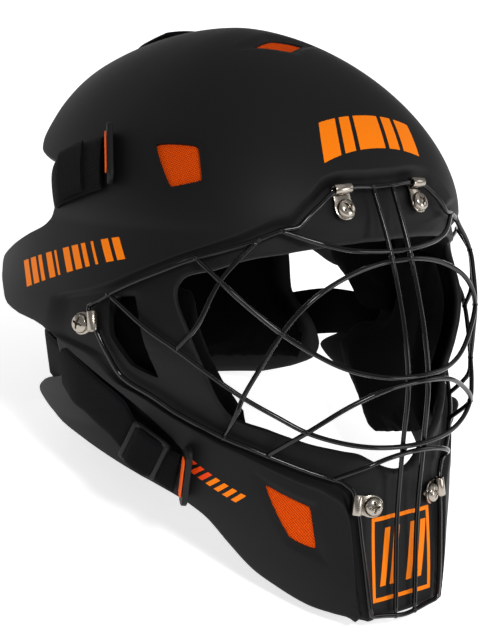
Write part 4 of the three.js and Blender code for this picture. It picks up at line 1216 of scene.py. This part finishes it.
for name, (around, out, inset, run, height, leaning) in TABS.items():
    axes = turned(surface_axes(around, out, inset, run), leaning, 1)
    body, body_faces = ring_plate(10, height, 4.0, 2.8)
    face, face_faces = ring_plate(5, height * 0.7, 2.0, 0.7, 0.2)
    body, face = placed(upright(body, 0, 5.6), axes), placed(upright(face, 1.05, 6.5), axes)
    for side, hand in HANDS:
        tab = join_parts(f"tab_{name}_body_{side}", [hand((body, body_faces))])
        place_piece(shade(tab, 45), "plastic", "webbing", f"tab_{name}_{side}")
        stripe = join_parts(f"tab_{name}_print_{side}", [hand((face, face_faces))])
        place_piece(shade(stripe, 45), "tab", "tab", f"tab_{name}_stripe_{side}")
print("pull tabs:", 2 * len(TABS))

# %% [markdown]
# The prints are ink on the shell. They could be painted on an image, but here each bar is a thin body
# a tenth of a millimetre proud that follows the surface, steps and all, so its edges stay crisp. They
# are plain slanted bars and a frame, cut out as four-cornered strips.

# %% Prints
INK_PROUD, INK_BACK = 0.09, 0.25


def ink_strip(corners, rows=10, columns=16):
    """Thin closed body over four corner angles that follows the finished surface."""
    around, out, _, _ = corner_grid(corners, rows, columns)
    depth = depth_at(around, out)
    return closed_body(surface(around, out, depth - INK_PROUD), surface(around, out, depth + INK_BACK))


def slanted_row(corners, cuts, slant):
    """Slanted bars in a band whose corners run a, b along its top and d, c along its foot."""
    a, b, c, d = [np.array(corner, float) for corner in corners]

    def top(share):
        return a + (share + slant) * (b - a)

    def foot(share):
        return d + share * (c - d)

    return [ink_strip([top(start), top(end), foot(end), foot(start)]) for start, end in cuts]


BROW_CUTS = [(0.0, 0.16), (0.2, 0.3), (0.34, 0.58), (0.62, 0.72), (0.76, 0.92)]
brow_bars = slanted_row([[15, 52.6], [-19, 52.6], [-23, 44.6], [19, 44.6]], BROW_CUTS, 0.08)
place_piece(join_parts("print_brow", brow_bars), "ink", "shell")
SIDE_WIDTHS = (0.055, 0.055, 0.035, 0.055, 0.02, 0.055, 0.055, 0.035, 0.02, 0.055, 0.055)
SIDE_PITCH, JAW_PITCH = 0.082, 0.145
side_cuts = [(0.02 + SIDE_PITCH * i, 0.02 + SIDE_PITCH * i + w) for i, w in enumerate(SIDE_WIDTHS)]
side_bars = slanted_row([[71.7, 110.5], [60.9, 71.6], [65, 67.2], [77.6, 104.8]], side_cuts, 0.03)
jaw_cuts = [(JAW_PITCH * i - 0.03, JAW_PITCH * i + 0.05) for i in range(7)]
jaw_bars = slanted_row([[119.5, 57.4], [133.6, 48.6], [135.6, 50.6], [121.8, 59.6]], jaw_cuts, 0.1)
for side, hand in HANDS:
    place_piece(join_parts(f"print_side_{side}", [hand(p) for p in side_bars]), "ink", "shell")
    for look, bars in (("red_ink", jaw_bars[:3]), ("ink", jaw_bars[3:])):
        place_piece(join_parts(f"print_jaw_{look}_{side}", [hand(p) for p in bars]), look, "shell")
print("bars on the brow, side and jaw:", len(brow_bars), len(side_bars), len(jaw_bars))

# %% [markdown]
# The frame on the chin is laid out in millimetres across the flat chin panel, and each of its points
# is turned into the two angles that everything else on the shell uses.

# %% The frame on the chin
CHIN_AHEAD, LINE = 119, 1.9
FRAME_TOP, FRAME_FOOT = -79, -119


def chin_angles(x, z):
    """Angles of the chin panel's point at x and z millimetres from the middle of the head."""
    around = math.degrees(math.atan2(-x, z))
    return around, math.degrees(math.atan2(math.hypot(x, z), CHIN_AHEAD))


def chin_strip(x, z, width, height, slant=0.0):
    """Strip down from x and z whose top is moved sideways. Straight down is 180 degrees from either
    side, so a strip that crosses the middle counts its angles on past it."""
    corners = [(x + slant, z), (x + width + slant, z), (x + width, z - height), (x, z - height)]
    crosses = min(corner[0] for corner in corners) < 0 < max(corner[0] for corner in corners)
    angles = [chin_angles(*corner) for corner in corners]
    return ink_strip([(a + 360 if crosses and a <= 0 else a, o) for a, o in angles])


height = FRAME_TOP - FRAME_FOOT
chin_frame = [chin_strip(x, FRAME_TOP, LINE, height) for x in (-18.8, 18)]
chin_frame += [chin_strip(x, z, 12, LINE) for x in (-17.2, -5.4, 6.4) for z in (FRAME_TOP, FRAME_FOOT + LINE)]
chin_frame += [chin_strip(x, -85, 3.6, 27, 4.0) for x in (-14, -7.6, 3.4, 10.2)]
place_piece(join_parts("print_chin", chin_frame), "ink", "shell")
print("strips on the chin:", len(chin_frame))

# %% [markdown]
# The photograph has a white, even background and soft light from large panels. A pale floor that
# glows a little, a pale world and five area lights give that. The small key light, rather than the
# large ones, draws the thin highlights on the wires.

# %% Floor and light
GLOW, WORLD_LIGHT, FLOOR_HALF, FLOOR_DROP = 0.7, 0.3, 6.0, 0.0005
paper, tree, shader, place = start_material("matte_paper_sweep", roughness=0.9,
                                            emission_color=(1, 1, 1, 1), emission_strength=GLOW)
fibre = add(tree, "ShaderNodeTexNoise", vector=(place, "Object"), scale=per_metre(0.09))
add(tree, "ShaderNodeValToRGB", colours=("#F4F4F4", "#F8F8F8"), fac=(fibre, "Fac"),
    into=(shader, "Base Color"))
corners = np.array([[-1, -1, 0], [1, -1, 0], [1, 1, 0], [-1, 1, 0]]) * FLOOR_HALF
floor = mesh_object("floor", corners - [0, 0, FLOOR_DROP], np.array([[0, 1, 2, 3]]))
floor.data.materials.append(paper)

world = bpy.data.worlds.new("studio")
world.use_nodes = True
background = world.node_tree.nodes["Background"]
background.inputs["Color"].default_value = (1, 1, 1, 1)
background.inputs["Strength"].default_value = WORLD_LIGHT
bpy.context.scene.world = world

AIM = stand(np.zeros(3))
# Each light: its place and size in metres, and its power in watts
LIGHTS = {
    "ceiling": ((0.0, 0.2, 2.4), 2.4, 6), "front": ((0.9, -1.7, 0.7), 0.7, 9),
    "key": ((-0.5, -1.2, 1.6), 0.4, 15), "fill": ((1.6, -0.6, 0.9), 0.7, 3),
    "rim": ((-0.6, 1.5, 1.2), 0.16, 0.5),
}
for name, (place, size, power) in LIGHTS.items():
    lamp = bpy.data.lights.new(name, "AREA")
    lamp.shape, lamp.size, lamp.energy = "SQUARE", size, power
    holder = bpy.data.objects.new(name, lamp)
    bpy.context.scene.collection.objects.link(holder)
    holder.location = place
    holder.rotation_mode = "QUATERNION"
    holder.rotation_quaternion = Vector(np.array(place) - AIM).to_track_quat("Z", "Y")
print("lights:", len(LIGHTS))

# %% [markdown]
# The camera stands where the photograph was taken: 988 mm from the middle of the head, 40.6 degrees
# round to the wearer's right and 9.7 degrees up. It leans back with the mask, so that the mask
# stands upright in the picture.

# %% Camera
AZIMUTH, ELEVATION, DISTANCE = math.radians(-40.6), math.radians(9.67), 0.98804
SENSOR, FOCAL_IN_PIXELS, PICTURE_HEIGHT = 36.0, 1900, 640
sideways, forwards = math.sin(AZIMUTH), math.cos(AZIMUTH)
level, rise = math.cos(ELEVATION), math.sin(ELEVATION)
back = lean([sideways * level, -forwards * level, rise])
up = lean([-sideways * rise, forwards * rise, level])
lens = bpy.data.cameras.new("camera")
lens.sensor_fit, lens.sensor_width, lens.sensor_height = "AUTO", SENSOR, 24.0
lens.lens = FOCAL_IN_PIXELS / PICTURE_HEIGHT * SENSOR
camera = bpy.data.objects.new("camera", lens)
bpy.context.scene.collection.objects.link(camera)
place = np.column_stack([np.cross(up, back), up, back, AIM + back * DISTANCE])
camera.matrix_world = Matrix([*place.tolist(), [0, 0, 0, 1]])
bpy.context.scene.camera = camera
bpy.context.scene.view_settings.view_transform = "Standard"
print("focal length:", round(lens.lens, 1), "mm")
